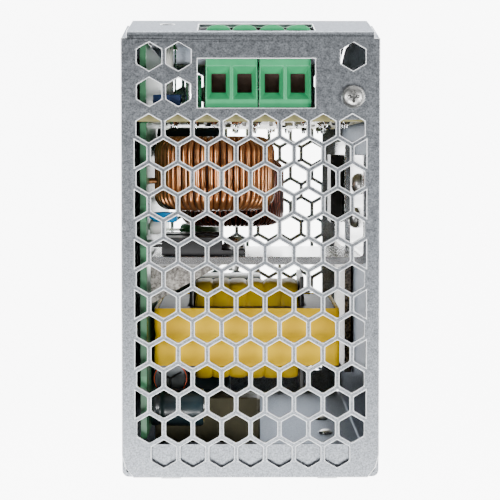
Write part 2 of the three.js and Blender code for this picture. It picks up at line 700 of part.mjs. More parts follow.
function makeMainBoard() {
  const y0 = EDGE_Y + BOARD_FRONT_GAP;
  const y1 = REAR_Y - BOARD_REAR_GAP;
  const board = block(MAIN_BOARD_FACE, MAIN_BOARD_FACE + BOARD, y0, y1, -BOARD_TOP, BOARD_TOP);
  const notchY = [BOARD_Y - FIT_GAP, BOARD_Y + BOARD + FIT_GAP];
  const floor = BOARD_TOP - BOARD_TAB - FIT_GAP;
  const x = [MAIN_BOARD_FACE - 1, MAIN_BOARD_FACE + BOARD + 1];
  return cut(board, [
    block(x[0], x[1], notchY[0], notchY[1], floor, BOARD_TOP + 1),
    block(x[0], x[1], notchY[0], notchY[1], -BOARD_TOP - 1, -floor),
  ]);
}

function makeFrontBoard() {
  const tabEnd = MAIN_BOARD_FACE + BOARD + TAB_PROUD;
  const y = [BOARD_Y, BOARD_Y + BOARD];
  const tab = BOARD_TOP - BOARD_TAB;
  return join([
    block(-HALF_WIDTH + FRONT_BOARD_SIDE_GAP, PART_X, y[0], y[1], -BOARD_TOP, BOARD_TOP),
    block(0, tabEnd, y[0], y[1], tab, BOARD_TOP),
    block(0, tabEnd, y[0], y[1], -BOARD_TOP, -tab),
  ]);
}

// Terminal blocks. Local frame: y is the height above the front board, z the depth from the wire side.

function polePlaces(poles) {
  return Array.from({ length: poles }, (_, pole) => (pole - (poles - 1) / 2) * POLE_PITCH);
}

const CLAMP_FLOOR = WIRE_AXIS - WIRE_HOLE[1] / 2 - CLAMP_WALL;
const CLAMP_ROOF = WIRE_AXIS + WIRE_HOLE[1] / 2 + CONTACT_BAR;
const CLAMP_TOP = CLAMP_ROOF + CLAMP_HEAD;
const CLAMP_HALF = WIRE_HOLE[0] / 2 + CLAMP_SIDE;
const CHAMBER_TOP = CLAMP_TOP + CLAMP_TRAVEL + CLAMP_CLEARANCE;
const CLAMP_START = FUNNEL + 1.2;

function makeTerminal(poles) {
  const half = (poles * POLE_PITCH + BLOCK_MARGIN) / 2;
  const outline = [[-half, 0], [half, 0]];
  const steps = 6;
  for (const x of polePlaces(poles).reverse()) {
    for (let step = 0; step <= steps; step += 1) {
      const angle = (Math.PI * step) / steps;
      const reach = (POLE_PITCH / 2 - 0.15) * Math.cos(angle);
      outline.push([x + reach, BLOCK_HEIGHT + BLOCK_BUMP * Math.sin(angle)]);
    }
  }
  const body = prism('z', outline, 0, BLOCK_DEPTH);
  const cutters = polePlaces(poles).flatMap((x) => {
    const mouth = MOUTH.map((size) => size / 2);
    const hole = WIRE_HOLE.map((size) => size / 2);
    const rim = [[-1, -1], [1, -1], [1, 1], [-1, 1]];
    const funnel = hull([
      ...rim.map(([u, v]) => [x + u * mouth[0], WIRE_AXIS + v * mouth[1], -0.01]),
      ...rim.map(([u, v]) => [x + u * hole[0], WIRE_AXIS + v * hole[1], FUNNEL]),
    ]);
    const wire = block(x - hole[0], x + hole[0], WIRE_AXIS - hole[1], WIRE_AXIS + hole[1], 1, BLOCK_DEPTH);
    const room = CLAMP_HALF + CLAMP_CLEARANCE;
    const low = CLAMP_FLOOR - CLAMP_CLEARANCE;
    const chamber = block(x - room, x + room, low, CHAMBER_TOP, FUNNEL + 0.9, BLOCK_DEPTH + 1);
    const axis = [x, 0, CLAMP_START + CLAMP_DEPTH / 2];
    const radius = TERMINAL_HEAD_RADIUS + HEAD_CLEARANCE;
    const bore = rod('y', radius, CHAMBER_TOP - 1, 2 * BLOCK_HEIGHT, axis, SCREW_SIDES);
    return [funnel, wire, chamber, bore];
  });
  return cut(body, cutters);
}

function makeClamp(x) {
  const z = [CLAMP_START, CLAMP_START + CLAMP_DEPTH];
  const cage = block(x - CLAMP_HALF, x + CLAMP_HALF, CLAMP_FLOOR, CLAMP_TOP, z[0], z[1]);
  const inner = CLAMP_HALF - CLAMP_SIDE;
  const axis = [x, 0, CLAMP_START + CLAMP_DEPTH / 2];
  const floor = CLAMP_FLOOR + CLAMP_WALL;
  return cut(cage, [
    block(x - inner, x + inner, floor, CLAMP_ROOF, z[0] - 1, z[1] + 1),
    rod('y', TERMINAL_SCREW_RADIUS + FIT_GAP, CLAMP_ROOF - 1, CLAMP_TOP + 1, axis, HOLE_SIDES),
  ]);
}

function makeTerminalScrew(x) {
  const z = CLAMP_START + CLAMP_DEPTH / 2;
  const seat = CHAMBER_TOP + CLAMP_CLEARANCE;
  const top = seat + TERMINAL_HEAD;
  const screw = turned('y', [
    [0, CLAMP_ROOF + 0.1],
    [TERMINAL_SCREW_RADIUS - 0.3, CLAMP_ROOF + 0.1],
    [TERMINAL_SCREW_RADIUS, CLAMP_ROOF + 0.4],
    [TERMINAL_SCREW_RADIUS, seat],
    [TERMINAL_HEAD_RADIUS, seat],
    [TERMINAL_HEAD_RADIUS, top - 0.3],
    [TERMINAL_HEAD_RADIUS - 0.3, top],
    [0, top],
  ], [x, 0, z], SCREW_SIDES);
  const reach = TERMINAL_HEAD_RADIUS + 1;
  const slot = block(x - reach, x + reach, top - SLOT_DEPTH, top + 1, z - SLOT_WIDTH / 2, z + SLOT_WIDTH / 2);
  return screw.subtract(slot);
}

function addPole(kind, number, x, holder) {
  add(`${kind}_screw_${number}`, makeTerminalScrew(x), STEEL, holder);
  add(`${kind}_clamp_${number}`, makeClamp(x), STEEL, holder);
}

function addTerminals() {
  let pole = 1;
  for (let index = 0; index < OUTPUT_BLOCKS; index += 1) {
    const holder = new THREE.Group();
    const shift = ((OUTPUT_BLOCKS - 1) / 2 - index) * BLOCK_STEP;
    holder.position.set(BLOCK_X + shift, BOARD_Y - FIT_GAP, TOP - ENTRY_INSET);
    holder.rotation.x = Math.PI;
    unit.add(holder);
    add(`output_terminal_${index + 1}`, makeTerminal(OUTPUT_BLOCK_POLES), GREEN_PLASTIC, holder);
    for (const x of polePlaces(OUTPUT_BLOCK_POLES).reverse()) {
      addPole('output', pole, x, holder);
      pole += 1;
    }
  }
  const holder = new THREE.Group();
  holder.position.set(BLOCK_X, BOARD_Y - FIT_GAP, -TOP + ENTRY_INSET);
  holder.rotation.z = Math.PI;
  unit.add(holder);
  add('input_terminal', makeTerminal(INPUT_POLES), GREEN_PLASTIC, holder);
  polePlaces(INPUT_POLES).forEach((x, index) => addPole('input', index + 1, x, holder));
}

// Adjuster and lamp on the front board

function frontFaceY(drop) {
  const rise = FRONT_RISE * Math.min(1, drop / SLOPE_RUN);
  return EDGE_Y - rise;
}

function makeAdjusterBody() {
  const half = ADJUSTER_BODY / 2;
  const z = TOP - ADJUSTER_DROP;
  const seat = BOARD_Y - FIT_GAP;
  const y = seat - ADJUSTER_BODY_HEIGHT;
  const body = block(ADJUSTER_X - half, ADJUSTER_X + half, y, seat, z - half, z + half);
  const bore = rod('y', SPINDLE_RADIUS + FIT_GAP, y - 1, y + SPINDLE_SEAT + FIT_GAP, [ADJUSTER_X, 0, z]);
  return body.subtract(bore);
}

function makeAdjusterRotor() {
  const z = TOP - ADJUSTER_DROP;
  const tip = frontFaceY(ADJUSTER_DROP) + SPINDLE_BACKSET;
  const seat = BOARD_Y - FIT_GAP - ADJUSTER_BODY_HEIGHT + SPINDLE_SEAT;
  const spindle = rod('y', SPINDLE_RADIUS, tip, seat, [ADJUSTER_X, 0, z], ROUND_SIDES);
  const reach = SPINDLE_RADIUS + 1;
  const half = SLOT_WIDTH / 2;
  return spindle.subtract(
    block(ADJUSTER_X - reach, ADJUSTER_X + reach, tip - 1, tip + SLOT_DEPTH, z - half, z + half),
  );
}

function makeLamp() {
  const z = TOP - LAMP_DROP;
  const tip = frontFaceY(LAMP_DROP) + 0.1;
  const foot = tip + LAMP_LENGTH;
  const bulb = turned('y', [
    [0, tip],
    [LAMP_RADIUS * 0.6, tip + 0.3],
    [LAMP_RADIUS * 0.9, tip + 0.8],
    [LAMP_RADIUS, tip + 1.5],
    [LAMP_RADIUS, foot - 1],
    [LAMP_RADIUS + 0.4, foot - 1],
    [LAMP_RADIUS + 0.4, foot],
    [0, foot],
  ], [ADJUSTER_X, 0, z], ROUND_SIDES);
  const leads = [-1.27, 1.27].map((shift) => {
    return rod('y', LEAD_RADIUS, foot - 0.5, BOARD_Y - FIT_GAP, [ADJUSTER_X + shift, 0, z], 8);
  });
  return join([bulb, ...leads]);
}

// Wound parts

function ring(outer, inner, y0, y1, centre, sides) {
  const whole = rod('y', outer, y0, y1, centre, sides);
  return whole.subtract(rod('y', inner, y0 - 1, y1 + 1, centre, sides));
}

function chokeSpan(choke, inset) {
  const y = EDGE_Y + choke.depth;
  const half = choke.thickness / 2 - inset;
  return [y - half, y + half];
}

function chokeCentre({ gap, above, radius }) {
  return [PART_X - gap - radius, 0, TOP - above - radius];
}

function makeChokeCore(choke) {
  const inset = choke.wire + FIT_GAP;
  const [y0, y1] = chokeSpan(choke, inset);
  const centre = chokeCentre(choke);
  return ring(choke.radius - inset, choke.bore + inset, y0, y1, centre, RING_SIDES);
}

// The winding is a hollow ring that stops short of full circle beside the board.
function makeChokeWinding(choke) {
  const centre = chokeCentre(choke);
  const [y0, y1] = chokeSpan(choke, 0);
  const [c0, c1] = chokeSpan(choke, choke.wire);
  const shell = ring(choke.radius, choke.bore, y0, y1, centre, RING_SIDES);
  const hollow = ring(choke.radius - choke.wire, choke.bore + choke.wire, c0, c1, centre, RING_SIDES);
  const reach = choke.radius + 2;
  const spread = reach * Math.tan(WINDING_GAP_ANGLE / 2);
  const wedge = prism('y', [
    [centre[2], centre[0]],
    [centre[2] + spread, centre[0] + reach],
    [centre[2] - spread, centre[0] + reach],
  ], y0 - 1, y1 + 1);
  return cut(shell, [hollow, wedge]);
}

// Two E-shaped halves meet in the middle: yokes at the sides, two outer legs and a round centre leg.
function coreCentre() {
  return [CORE_X, EDGE_Y + CORE_DEPTH, TOP - CORE_DROP - CORE_LENGTH / 2];
}

function makeTransformerCore() {
  const [x, y, z] = coreCentre();
  const halfX = CORE_WIDTH / 2;
  const halfZ = CORE_LENGTH / 2;
  const thick = CORE_THICKNESS / 2 - TAPE / 2;
  const whole = block(x - halfX, x + halfX, y - thick, y + thick, z - halfZ, z + halfZ);
  const inX = halfX - CORE_YOKE;
  const inZ = halfZ - CORE_LEG;
  const window = block(x - inX, x + inX, y - CORE_THICKNESS, y + CORE_THICKNESS, z - inZ, z + inZ);
  const leg = rod('x', CORE_CENTRE_RADIUS, x - inX - 1, x + inX + 1, [0, y, z], ROUND_SIDES);
  return join([whole.subtract(window), leg]);
}

function makeTransformerTape() {
  const z1 = TOP - CORE_DROP + FIT_GAP;
  const z0 = z1 - CORE_LENGTH - 2 * FIT_GAP;
  const y = EDGE_Y + CORE_DEPTH;
  const half = CORE_WIDTH / 2 + FIT_GAP;
  const thick = CORE_THICKNESS / 2;
  const outer = half + TAPE;
  const band = block(CORE_X - outer, CORE_X + outer, y - thick, y + thick, z0 - TAPE, z1 + TAPE);
  return band.subtract(block(CORE_X - half, CORE_X + half, y - thick - 1, y + thick + 1, z0, z1));
}

function bobbinSpan() {
  const reach = CORE_WIDTH / 2 - CORE_YOKE - FIT_GAP;
  return [CORE_X - reach, CORE_X + reach];
}

function flangeHalf() {
  return CORE_LENGTH / 2 - CORE_LEG - FLANGE_LEG_GAP;
}

function makeBobbin() {
  const [x0, x1] = bobbinSpan();
  const [, y, z] = coreCentre();
  const fz = flangeHalf();
  const fy = BOBBIN_FLANGE_Y / 2;
  const axis = [0, y, z];
  const tube = rod('x', CORE_CENTRE_RADIUS + FIT_GAP + BOBBIN_WALL, x0, x1, axis, RING_SIDES);
  const left = block(x0, x0 + BOBBIN_WALL, y - fy, y + fy, z - fz, z + fz);
  const right = block(x1 - BOBBIN_WALL, x1, y - fy, y + fy, z - fz, z + fz);
  const bore = rod('x', CORE_CENTRE_RADIUS + FIT_GAP, x0 - 1, x1 + 1, axis, RING_SIDES);
  return join([tube, left, right]).subtract(bore);
}

function makeTransformerWinding() {
  const [x0, x1] = bobbinSpan();
  const [, y, z] = coreCentre();
  const wz = flangeHalf() - FIT_GAP;
  const wy = BOBBIN_FLANGE_Y / 2 - WINDING_INSET_Y;
  const outline = [];
  for (const [u, v, start] of [[1, 1, 0], [-1, 1, 1], [-1, -1, 2], [1, -1, 3]]) {
    for (let step = 0; step <= 4; step += 1) {
      const angle = ((start + step / 4) * Math.PI) / 2;
      const middleY = y + u * (wy - WINDING_CORNER);
      const middleZ = z + v * (wz - WINDING_CORNER);
      outline.push([middleY + WINDING_CORNER * Math.cos(angle), middleZ + WINDING_CORNER * Math.sin(angle)]);
    }
  }
  const inset = BOBBIN_WALL + FIT_GAP;
  const body = prism('x', outline, x0 + inset, x1 - inset);
  const bore = CORE_CENTRE_RADIUS + 2 * FIT_GAP + BOBBIN_WALL;
  return body.subtract(rod('x', bore, x0, x1, [0, y, z], RING_SIDES));
}

// Components that stand on the main board, pointing away from it along -X

function canProfile(radius, length) {
  return [
    [0, -length],
    [radius * 0.88, -length],
    [radius, -length + 0.8],
    [radius, -3.4],
    [radius - 0.7, -2.6],
    [radius, -1.8],
    [radius, -0.5],
    [radius * 0.9, 0],
    [0, 0],
  ];
}

function makeCan(depth, z, radius, length) {
  return turned('x', canProfile(radius, length), [PART_X, EDGE_Y + depth, z], ROUND_SIDES);
}

// A can laid along the board, its vent end towards the output end of the case.
function makeLyingCan() {
  const { depth, drop, radius, length } = LYING_CAP;
  const profile = canProfile(radius, length).map(([r, place]) => [r, -length - place]).reverse();
  return turned('z', profile, [PART_X - radius, EDGE_Y + depth, TOP - drop], ROUND_SIDES);
}

function pins(depth, heights, from) {
  return heights.map((z) => rod('x', LEAD_RADIUS, from, PART_X, [0, EDGE_Y + depth, z], PIN_SIDES));
}

function makeDiscCapacitor() {
  const { depth, drop, radius, thickness, pin } = DISC_CAP;
  const x = PART_X - pin - radius;
  const half = thickness / 2;
  const y = EDGE_Y + depth;
  const disc = turned('y', [
    [0, y - half],
    [radius * 0.75, y - half * 0.85],
    [radius, y - half * 0.3],
    [radius, y + half * 0.3],
    [radius * 0.75, y + half * 0.85],
    [0, y + half],
  ], [x, 0, TOP - drop], ROUND_SIDES);
  const spread = radius * 0.55;
  const z = TOP - drop;
  return join([disc, ...pins(depth, [z + spread, z - spread], x + radius * 0.5)]);
}

function makeBoxCapacitor() {
  const [width, thick, long] = BOX_CAP.size;
  const y = EDGE_Y + BOX_CAP.depth;
  const z = TOP - BOX_CAP.drop;
  return block(PART_X - width, PART_X, y - thick / 2, y + thick / 2, z - long / 2, z + long / 2);
}

function makeThermistor() {
  const { depth, rise, radius, thickness } = THERMISTOR;
  const z = rise - TOP;
  const x = PART_X - PIN_LENGTH - radius;
  const y = EDGE_Y + depth;
  const disc = rod('y', radius, y - thickness / 2, y + thickness / 2, [x, 0, z]);
  const spread = radius * 0.5;
  return join([disc, ...pins(depth, [z + spread, z - spread], x)]);
}

// Heat sinks, power packages and their screws

const SINK_REAR_Y = EDGE_Y + SINK_REAR;
const SINK_FACE_Y = SINK_REAR_Y - SINK;
const SINK_WALL = -INNER_HALF + FIT_GAP;
const SINK_WALL_FACE = SINK_WALL + SINK;
const SINK_TOP = TOP - SINK_TOP_DROP;

function makeOutputSink() {
  const right = MAIN_BOARD_FACE - SINK_BOARD_GAP;
  const corners = [
    [right, SINK_REAR_Y],
    [SINK_WALL, SINK_REAR_Y],
    [SINK_WALL, EDGE_Y + SINK_FLANGE_FRONT],
  ];
  const angle = prism('z', bentSheet(corners, SINK + 1, SINK), SINK_TOP - SINK_LENGTH, SINK_TOP);
  const gusset = prism('z', [
    [right, SINK_REAR_Y - 0.5],
    [right, SINK_REAR_Y + GUSSET_HEIGHT],
    [right - GUSSET_REACH, SINK_REAR_Y - 0.5],
  ], SINK_TOP - GUSSET, SINK_TOP);
  const holes = SINK_SCREWS.map(({ depth, drop }) => {
    const radius = SINK_SCREW_RADIUS + FIT_GAP / 2;
    return rod('x', radius, SINK_WALL - 1, SINK_WALL_FACE + 1, [0, EDGE_Y + depth, TOP - drop], HOLE_SIDES);
  });
  for (const drop of PACKAGE_DROPS) {
    const radius = SINK_SCREW_RADIUS + FIT_GAP / 2;
    const place = [packageHoleX(), 0, TOP - drop];
    holes.push(rod('y', radius, SINK_FACE_Y - 1, SINK_REAR_Y + 1, place, HOLE_SIDES));
  }
  return cut(join([angle, gusset]), holes);
}

function packageHoleX() {
  return PACKAGE_X - PACKAGE.body[0] / 2 - PACKAGE.tabLength / 2;
}

function makePackage(drop) {
  const [long, thick, wide] = PACKAGE.body;
  const z = TOP - drop;
  const y = SINK_FACE_Y - FIT_GAP;
  const left = PACKAGE_X - long / 2;
  const right = PACKAGE_X + long / 2;
  const body = block(left, right, y - thick, y, z - wide / 2, z + wide / 2);
  const tab = block(left - PACKAGE.tabLength, left + 0.5, y - PACKAGE.tab, y, z - wide / 2, z + wide / 2);
  const leadY = [y - LEAD_BACK - LEAD_THICK, y - LEAD_BACK];
  const leads = [-LEAD_PITCH, 0, LEAD_PITCH].map((shift) => {
    const middle = z + shift;
    return block(right - 0.5, PART_X, leadY[0], leadY[1], middle - LEAD_HALF, middle + LEAD_HALF);
  });
  const radius = SINK_SCREW_RADIUS + FIT_GAP / 2;
  return cut(join([body, tab, ...leads]), [
    rod('y', radius, y - thick, y + 1, [packageHoleX(), 0, z], HOLE_SIDES),
  ]);
}

// Head first, then the shank: places along the axis, from the head's crown to the tip.
function roundScrew(axis, crown, direction, length, centre) {
  const under = crown + direction * SINK_SCREW_HEAD;
  const profile = [
    [0, crown],
    [SINK_SCREW_HEAD_RADIUS * 0.7, crown],
    [SINK_SCREW_HEAD_RADIUS, crown + direction * SINK_SCREW_HEAD * 0.5],
    [SINK_SCREW_HEAD_RADIUS, under],
    [SINK_SCREW_RADIUS, under],
    [SINK_SCREW_RADIUS, under + direction * length],
    [0, under + direction * length],
  ];
  return turned(axis, direction > 0 ? profile : profile.reverse(), centre, SCREW_SIDES);
}

function addSinkScrews() {
  SINK_SCREWS.forEach(({ depth, drop }, index) => {
    const crown = SINK_WALL_FACE + 0.05 + SINK_SCREW_HEAD;
    const place = [0, EDGE_Y + depth, TOP - drop];
    const length = SINK + FIT_GAP + SHEET;
    add(`heatsink_screw_${index + 1}`, roundScrew('x', crown, -1, length, place), STEEL);
  });
  PACKAGE_DROPS.forEach((drop, index) => {
    const crown = SINK_FACE_Y - FIT_GAP - PACKAGE.tab - 0.05 - SINK_SCREW_HEAD;
    const place = [packageHoleX(), 0, TOP - drop];
    const length = PACKAGE.tab + FIT_GAP + SINK + 2;
    add(`transistor_screw_${index + 1}`, roundScrew('y', crown, 1, length, place), STEEL);
  });
}

function makeInputSink() {
  const z0 = INPUT_SINK.rise - TOP;
  const y = [EDGE_Y + INPUT_SINK.front, REAR_Y - INPUT_SINK.rearGap];
  return block(SINK_WALL, SINK_WALL_FACE, y[0], y[1], z0, z0 + INPUT_SINK.length);
}

function wallPackage(part) {
  const [thick, deep, tall] = part.size;
  const x = SINK_WALL_FACE + FIT_GAP;
  const y = EDGE_Y + part.depth;
  const z = part.rise - TOP;
  return block(x, x + thick, y - deep / 2, y + deep / 2, z - tall / 2, z + tall / 2);
}

// Assembly

add('cover', makeCover(), ZINC);
add('chassis', makeChassis(), ZINC);
add('insulating_film', makeFilm(), BLACK_PLASTIC);
addCoverScrews();
add('rail_bracket', makeBracket(), STEEL);
add('rail_latch', makeLatch(), STEEL);
add('latch_spring', makeSpring(), STEEL);
rivetPlaces().forEach(([x, z], index) => {
  const holder = new THREE.Group();
  holder.position.set(x, 0, z);
  unit.add(holder);
  add(`bracket_rivet_${index + 1}`, makeRivet(), STEEL, holder);
});
add('main_board', makeMainBoard(), BOARD_GREEN);
add('front_board', makeFrontBoard(), BOARD_GREEN);
addTerminals();
add('adjuster_body', makeAdjusterBody(), BLACK_PLASTIC);
add('adjuster_rotor', makeAdjusterRotor(), WHITE_PLASTIC);
add('status_lamp', makeLamp(), GREEN_PLASTIC);
add('output_choke_core', makeChokeCore(OUTPUT_CHOKE), FERRITE);
add('output_choke_winding', makeChokeWinding(OUTPUT_CHOKE), COPPER);
add('filter_choke_core', makeChokeCore(FILTER_CHOKE), FERRITE);
add('filter_choke_winding', makeChokeWinding(FILTER_CHOKE), COPPER);
add('transformer_core', makeTransformerCore(), FERRITE);
add('transformer_tape', makeTransformerTape(), YELLOW_TAPE);
add('transformer_bobbin', makeBobbin(), BLACK_PLASTIC);
add('transformer_winding', makeTransformerWinding(), YELLOW_TAPE);
OUTPUT_CAPS.forEach(({ depth, drop, radius, length }, index) => {
  add(`output_capacitor_${index + 1}`, makeCan(depth, TOP - drop, radius, length), BLACK_PLASTIC);
});
add('output_capacitor_4', makeLyingCan(), BLACK_PLASTIC);
BULK_CAPS.rises.forEach((rise, index) => {
  const can = makeCan(BULK_CAPS.depths[index], rise - TOP, BULK_CAPS.radius, BULK_CAPS.length);
  add(`bulk_capacitor_${index + 1}`, can, BLACK_PLASTIC);
});
add('disc_capacitor', makeDiscCapacitor(), [0x1f8fc4, 0.4, 0]);
add('box_capacitor', makeBoxCapacitor(), WHITE_PLASTIC);
add('inrush_thermistor', makeThermistor(), [0x2f3a2f, 0.6, 0]);
add('output_heatsink', makeOutputSink(), ALUMINIUM);
add('input_heatsink', makeInputSink(), ALUMINIUM);
PACKAGE_DROPS.forEach((drop, index) => add(`transistor_${index + 1}`, makePackage(drop), BLACK_PLASTIC));
add('bridge_rectifier', wallPackage(RECTIFIER), BLACK_PLASTIC);
addSinkScrews();

export default unit;
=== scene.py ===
import json
import math
import random

import bmesh
import bpy
from mathutils import Matrix, Vector


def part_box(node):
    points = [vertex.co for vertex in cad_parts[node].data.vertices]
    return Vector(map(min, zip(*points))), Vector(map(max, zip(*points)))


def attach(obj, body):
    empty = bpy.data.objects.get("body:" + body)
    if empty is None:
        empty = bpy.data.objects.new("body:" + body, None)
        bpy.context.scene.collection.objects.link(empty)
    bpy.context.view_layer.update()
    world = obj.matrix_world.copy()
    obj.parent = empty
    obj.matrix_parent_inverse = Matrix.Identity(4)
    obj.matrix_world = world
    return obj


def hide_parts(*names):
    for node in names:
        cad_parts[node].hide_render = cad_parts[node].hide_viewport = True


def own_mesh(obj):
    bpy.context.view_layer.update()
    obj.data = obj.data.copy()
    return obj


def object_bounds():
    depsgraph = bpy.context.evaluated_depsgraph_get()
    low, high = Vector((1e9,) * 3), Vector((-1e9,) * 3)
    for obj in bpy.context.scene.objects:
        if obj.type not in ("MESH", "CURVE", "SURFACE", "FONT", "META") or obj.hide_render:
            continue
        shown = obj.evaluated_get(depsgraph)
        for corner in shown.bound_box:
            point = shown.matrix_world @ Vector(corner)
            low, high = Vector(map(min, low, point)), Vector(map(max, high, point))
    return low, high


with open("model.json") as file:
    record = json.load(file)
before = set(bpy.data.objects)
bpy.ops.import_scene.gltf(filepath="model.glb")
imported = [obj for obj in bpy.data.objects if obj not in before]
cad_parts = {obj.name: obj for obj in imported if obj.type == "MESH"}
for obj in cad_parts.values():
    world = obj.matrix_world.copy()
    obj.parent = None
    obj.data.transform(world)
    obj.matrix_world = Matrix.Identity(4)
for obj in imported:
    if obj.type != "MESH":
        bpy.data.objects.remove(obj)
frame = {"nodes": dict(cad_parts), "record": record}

CAD_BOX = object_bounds()
NODES = frame["nodes"]
SLOTS = {part["node"]: part["material_slot"] for part in frame["record"]["subparts"]}
BODIES = frame["record"]["behaviour"]["bodies"]
BODY_OF = {node: body for body, nodes in BODIES.items() for node in nodes}
MM = 0.001
AXES = {
    "x": Matrix(((0, 0, 1), (1, 0, 0), (0, 1, 0))),
    "y": Matrix(((0, 1, 0), (0, 0, 1), (1, 0, 0))),
    "z": Matrix.Identity(3),
}


# ---------------------------------------------------------------------------------------------
# Materials
# ---------------------------------------------------------------------------------------------

class Surface:
    """A Principled material with procedural detail added a step at a time."""

    def __init__(self, name, colour, roughness, metallic=0.0, **sockets):
        self.material = bpy.data.materials.new(name)
        self.material.use_nodes = True
        self.nodes = self.material.node_tree.nodes
        self.links = self.material.node_tree.links
        self.shader = self.nodes["Principled BSDF"]
        self.colour = colour
        self.set("Base Color", (*colour, 1))
        self.set("Roughness", roughness)
        self.set("Metallic", metallic)
        for socket, value in sockets.items():
            self.set(socket.replace("_", " "), value)
        self.place = self.nodes.new("ShaderNodeTexCoord").outputs["Object"]
        self.normal = None

    def set(self, socket, value):
        self.shader.inputs[socket].default_value = value

    def mapped(self, scale):
        mapping = self.nodes.new("ShaderNodeMapping")
        mapping.inputs["Scale"].default_value = scale
        self.links.new(self.place, mapping.inputs["Vector"])
        return mapping.outputs["Vector"]

    def noise(self, scale, detail=3.0, stretch=(1, 1, 1), rough=0.55):
        texture = self.nodes.new("ShaderNodeTexNoise")
        texture.inputs["Scale"].default_value = scale
        texture.inputs["Detail"].default_value = detail
        texture.inputs["Roughness"].default_value = rough
        self.links.new(self.mapped(stretch), texture.inputs["Vector"])
        return texture.outputs["Fac"]

    def waves(self, scale, stretch, distortion=1.0, direction="X"):
        texture = self.nodes.new("ShaderNodeTexWave")
        texture.bands_direction = direction
        texture.inputs["Scale"].default_value = scale
        texture.inputs["Distortion"].default_value = distortion
        self.links.new(self.mapped(stretch), texture.inputs["Vector"])
        return texture.outputs["Fac"]

    def ramp(self, fac, low, high, start, end):
        node = self.nodes.new("ShaderNodeValToRGB")
        node.color_ramp.elements[0].position = low
        node.color_ramp.elements[1].position = high
        node.color_ramp.elements[0].color = (*start, 1)
        node.color_ramp.elements[1].color = (*end, 1)
        self.links.new(fac, node.inputs["Fac"])
        return node.outputs["Color"]

    def tint(self, fac, start, end, low=0.35, high=0.65):
        self.links.new(self.ramp(fac, low, high, start, end), self.shader.inputs["Base Color"])
        return self

    def shade(self, fac, amount, low=0.35, high=0.65):
        dark = tuple(channel * (1 - amount) for channel in self.colour)
        light = tuple(min(1, channel * (1 + amount)) for channel in self.colour)
        return self.tint(fac, dark, light, low, high)

    def polish(self, fac, smooth, rough, low=0.3, high=0.7):
        node = self.nodes.new("ShaderNodeMapRange")
        node.inputs["From Min"].default_value = low
        node.inputs["From Max"].default_value = high
        node.inputs["To Min"].default_value = smooth
        node.inputs["To Max"].default_value = rough
        self.links.new(fac, node.inputs["Value"])
        self.links.new(node.outputs["Result"], self.shader.inputs["Roughness"])
        return self

    def bump(self, fac, depth_mm, strength=1.0):
        node = self.nodes.new("ShaderNodeBump")
        node.inputs["Distance"].default_value = depth_mm * MM
        node.inputs["Strength"].default_value = strength
        self.links.new(fac, node.inputs["Height"])
        if self.normal:
            self.links.new(self.normal, node.inputs["Normal"])
        self.normal = node.outputs["Normal"]
        self.links.new(self.normal, self.shader.inputs["Normal"])
        return self


def galvanised():
    edge_tint = (0.25, 0.26, 0.28, 1)
    metal = Surface("galvanised_sheet", (0.255, 0.272, 0.295), 0.36, 0.96, Specular_Tint=edge_tint)
    grain = metal.noise(2600, 4)
    metal.shade(grain, 0.38, 0.34, 0.66)
    metal.polish(metal.noise(900, 3), 0.32, 0.42)
    metal.bump(grain, 0.018, 0.7)
    return metal.material


def zinc(name, colour=(0.66, 0.66, 0.64), roughness=0.24):
    metal = Surface(name, colour, roughness, 1.0)
    metal.shade(metal.noise(900, 3), 0.08)
    metal.polish(metal.noise(400, 3), roughness * 0.8, roughness * 1.5)
    metal.bump(metal.noise(1800, 2), 0.006, 0.5)
    return metal.material


def aluminium():
    """Fine drawn streaks, turning on the part nearest the rear to a rough speckled brown-gray whose darkness is
    painted shade with a painted brown reflection.
    """
    metal = Surface("heatsink_aluminium", (0.70, 0.70, 0.71), 0.3, 1.0)
    streaks = metal.noise(900, 2, (1, 1, 0.03))
    clean = metal.ramp(streaks, 0.3, 0.7, (0.66, 0.66, 0.67), (0.74, 0.74, 0.75))
    # Dark brown-gray specks: the speckle and roughness are the surface's own, the dark brown is painted shade
    # and painted reflection.
    shaded_specks = metal.ramp(metal.noise(1500, 4), 0.36, 0.64, (0.13, 0.12, 0.11), (0.40, 0.38, 0.35))
    split = metal.nodes.new("ShaderNodeSeparateXYZ")
    metal.links.new(metal.place, split.inputs["Vector"])
    # Mask by object Y for the rough rear part, which takes the painted shade.
    rough_shaded = metal.nodes.new("ShaderNodeMapRange")
    rough_shaded.inputs["From Min"].default_value = -57.4 * MM
    rough_shaded.inputs["From Max"].default_value = -56.6 * MM
    metal.links.new(split.outputs["Y"], rough_shaded.inputs["Value"])
    mix = metal.nodes.new("ShaderNodeMix")
    mix.data_type = "RGBA"
    metal.links.new(rough_shaded.outputs["Result"], mix.inputs["Factor"])
    metal.links.new(clean, mix.inputs["A"])
    metal.links.new(shaded_specks, mix.inputs["B"])
    metal.links.new(mix.outputs["Result"], metal.shader.inputs["Base Color"])
    metal.polish(rough_shaded.outputs["Result"], 0.24, 0.55, 0, 1)
    metal.bump(streaks, 0.004, 0.4)
    return metal.material


def plastic(name, colour, roughness=0.42, grain=0.006, mottle=0.06, **sockets):
    moulded = Surface(name, colour, roughness, **sockets)
    moulded.shade(moulded.noise(220, 3), mottle)
    moulded.polish(moulded.noise(500, 2), roughness * 0.85, roughness * 1.2)
    moulded.bump(moulded.noise(2400, 2), grain, 0.5)
    return moulded.material


def laminate(name, face, mask_roughness=0.35):
    board = Surface(name, face, mask_roughness, Coat_Weight=0.2, Coat_Roughness=0.3)
    tracks = board.waves(95, (0, 1, 1), 9.0, "Z")
    board.tint(tracks, face, tuple(min(1, c * 1.55) for c in face), 0.45, 0.55)
    board.bump(tracks, 0.03, 0.5)
    board.bump(board.noise(1500, 2, (1, 1, 1)), 0.006, 0.5)
    return board.material


def enamelled_copper(name, colour, roughness):
    wire = Surface(name, colour, roughness, 0.85, Coat_Weight=0.6, Coat_Roughness=0.12)
    wire.shade(wire.noise(160, 2), 0.12, 0.3, 0.7)
    wire.bump(wire.noise(500, 1), 0.006, 0.3)
    return wire.material


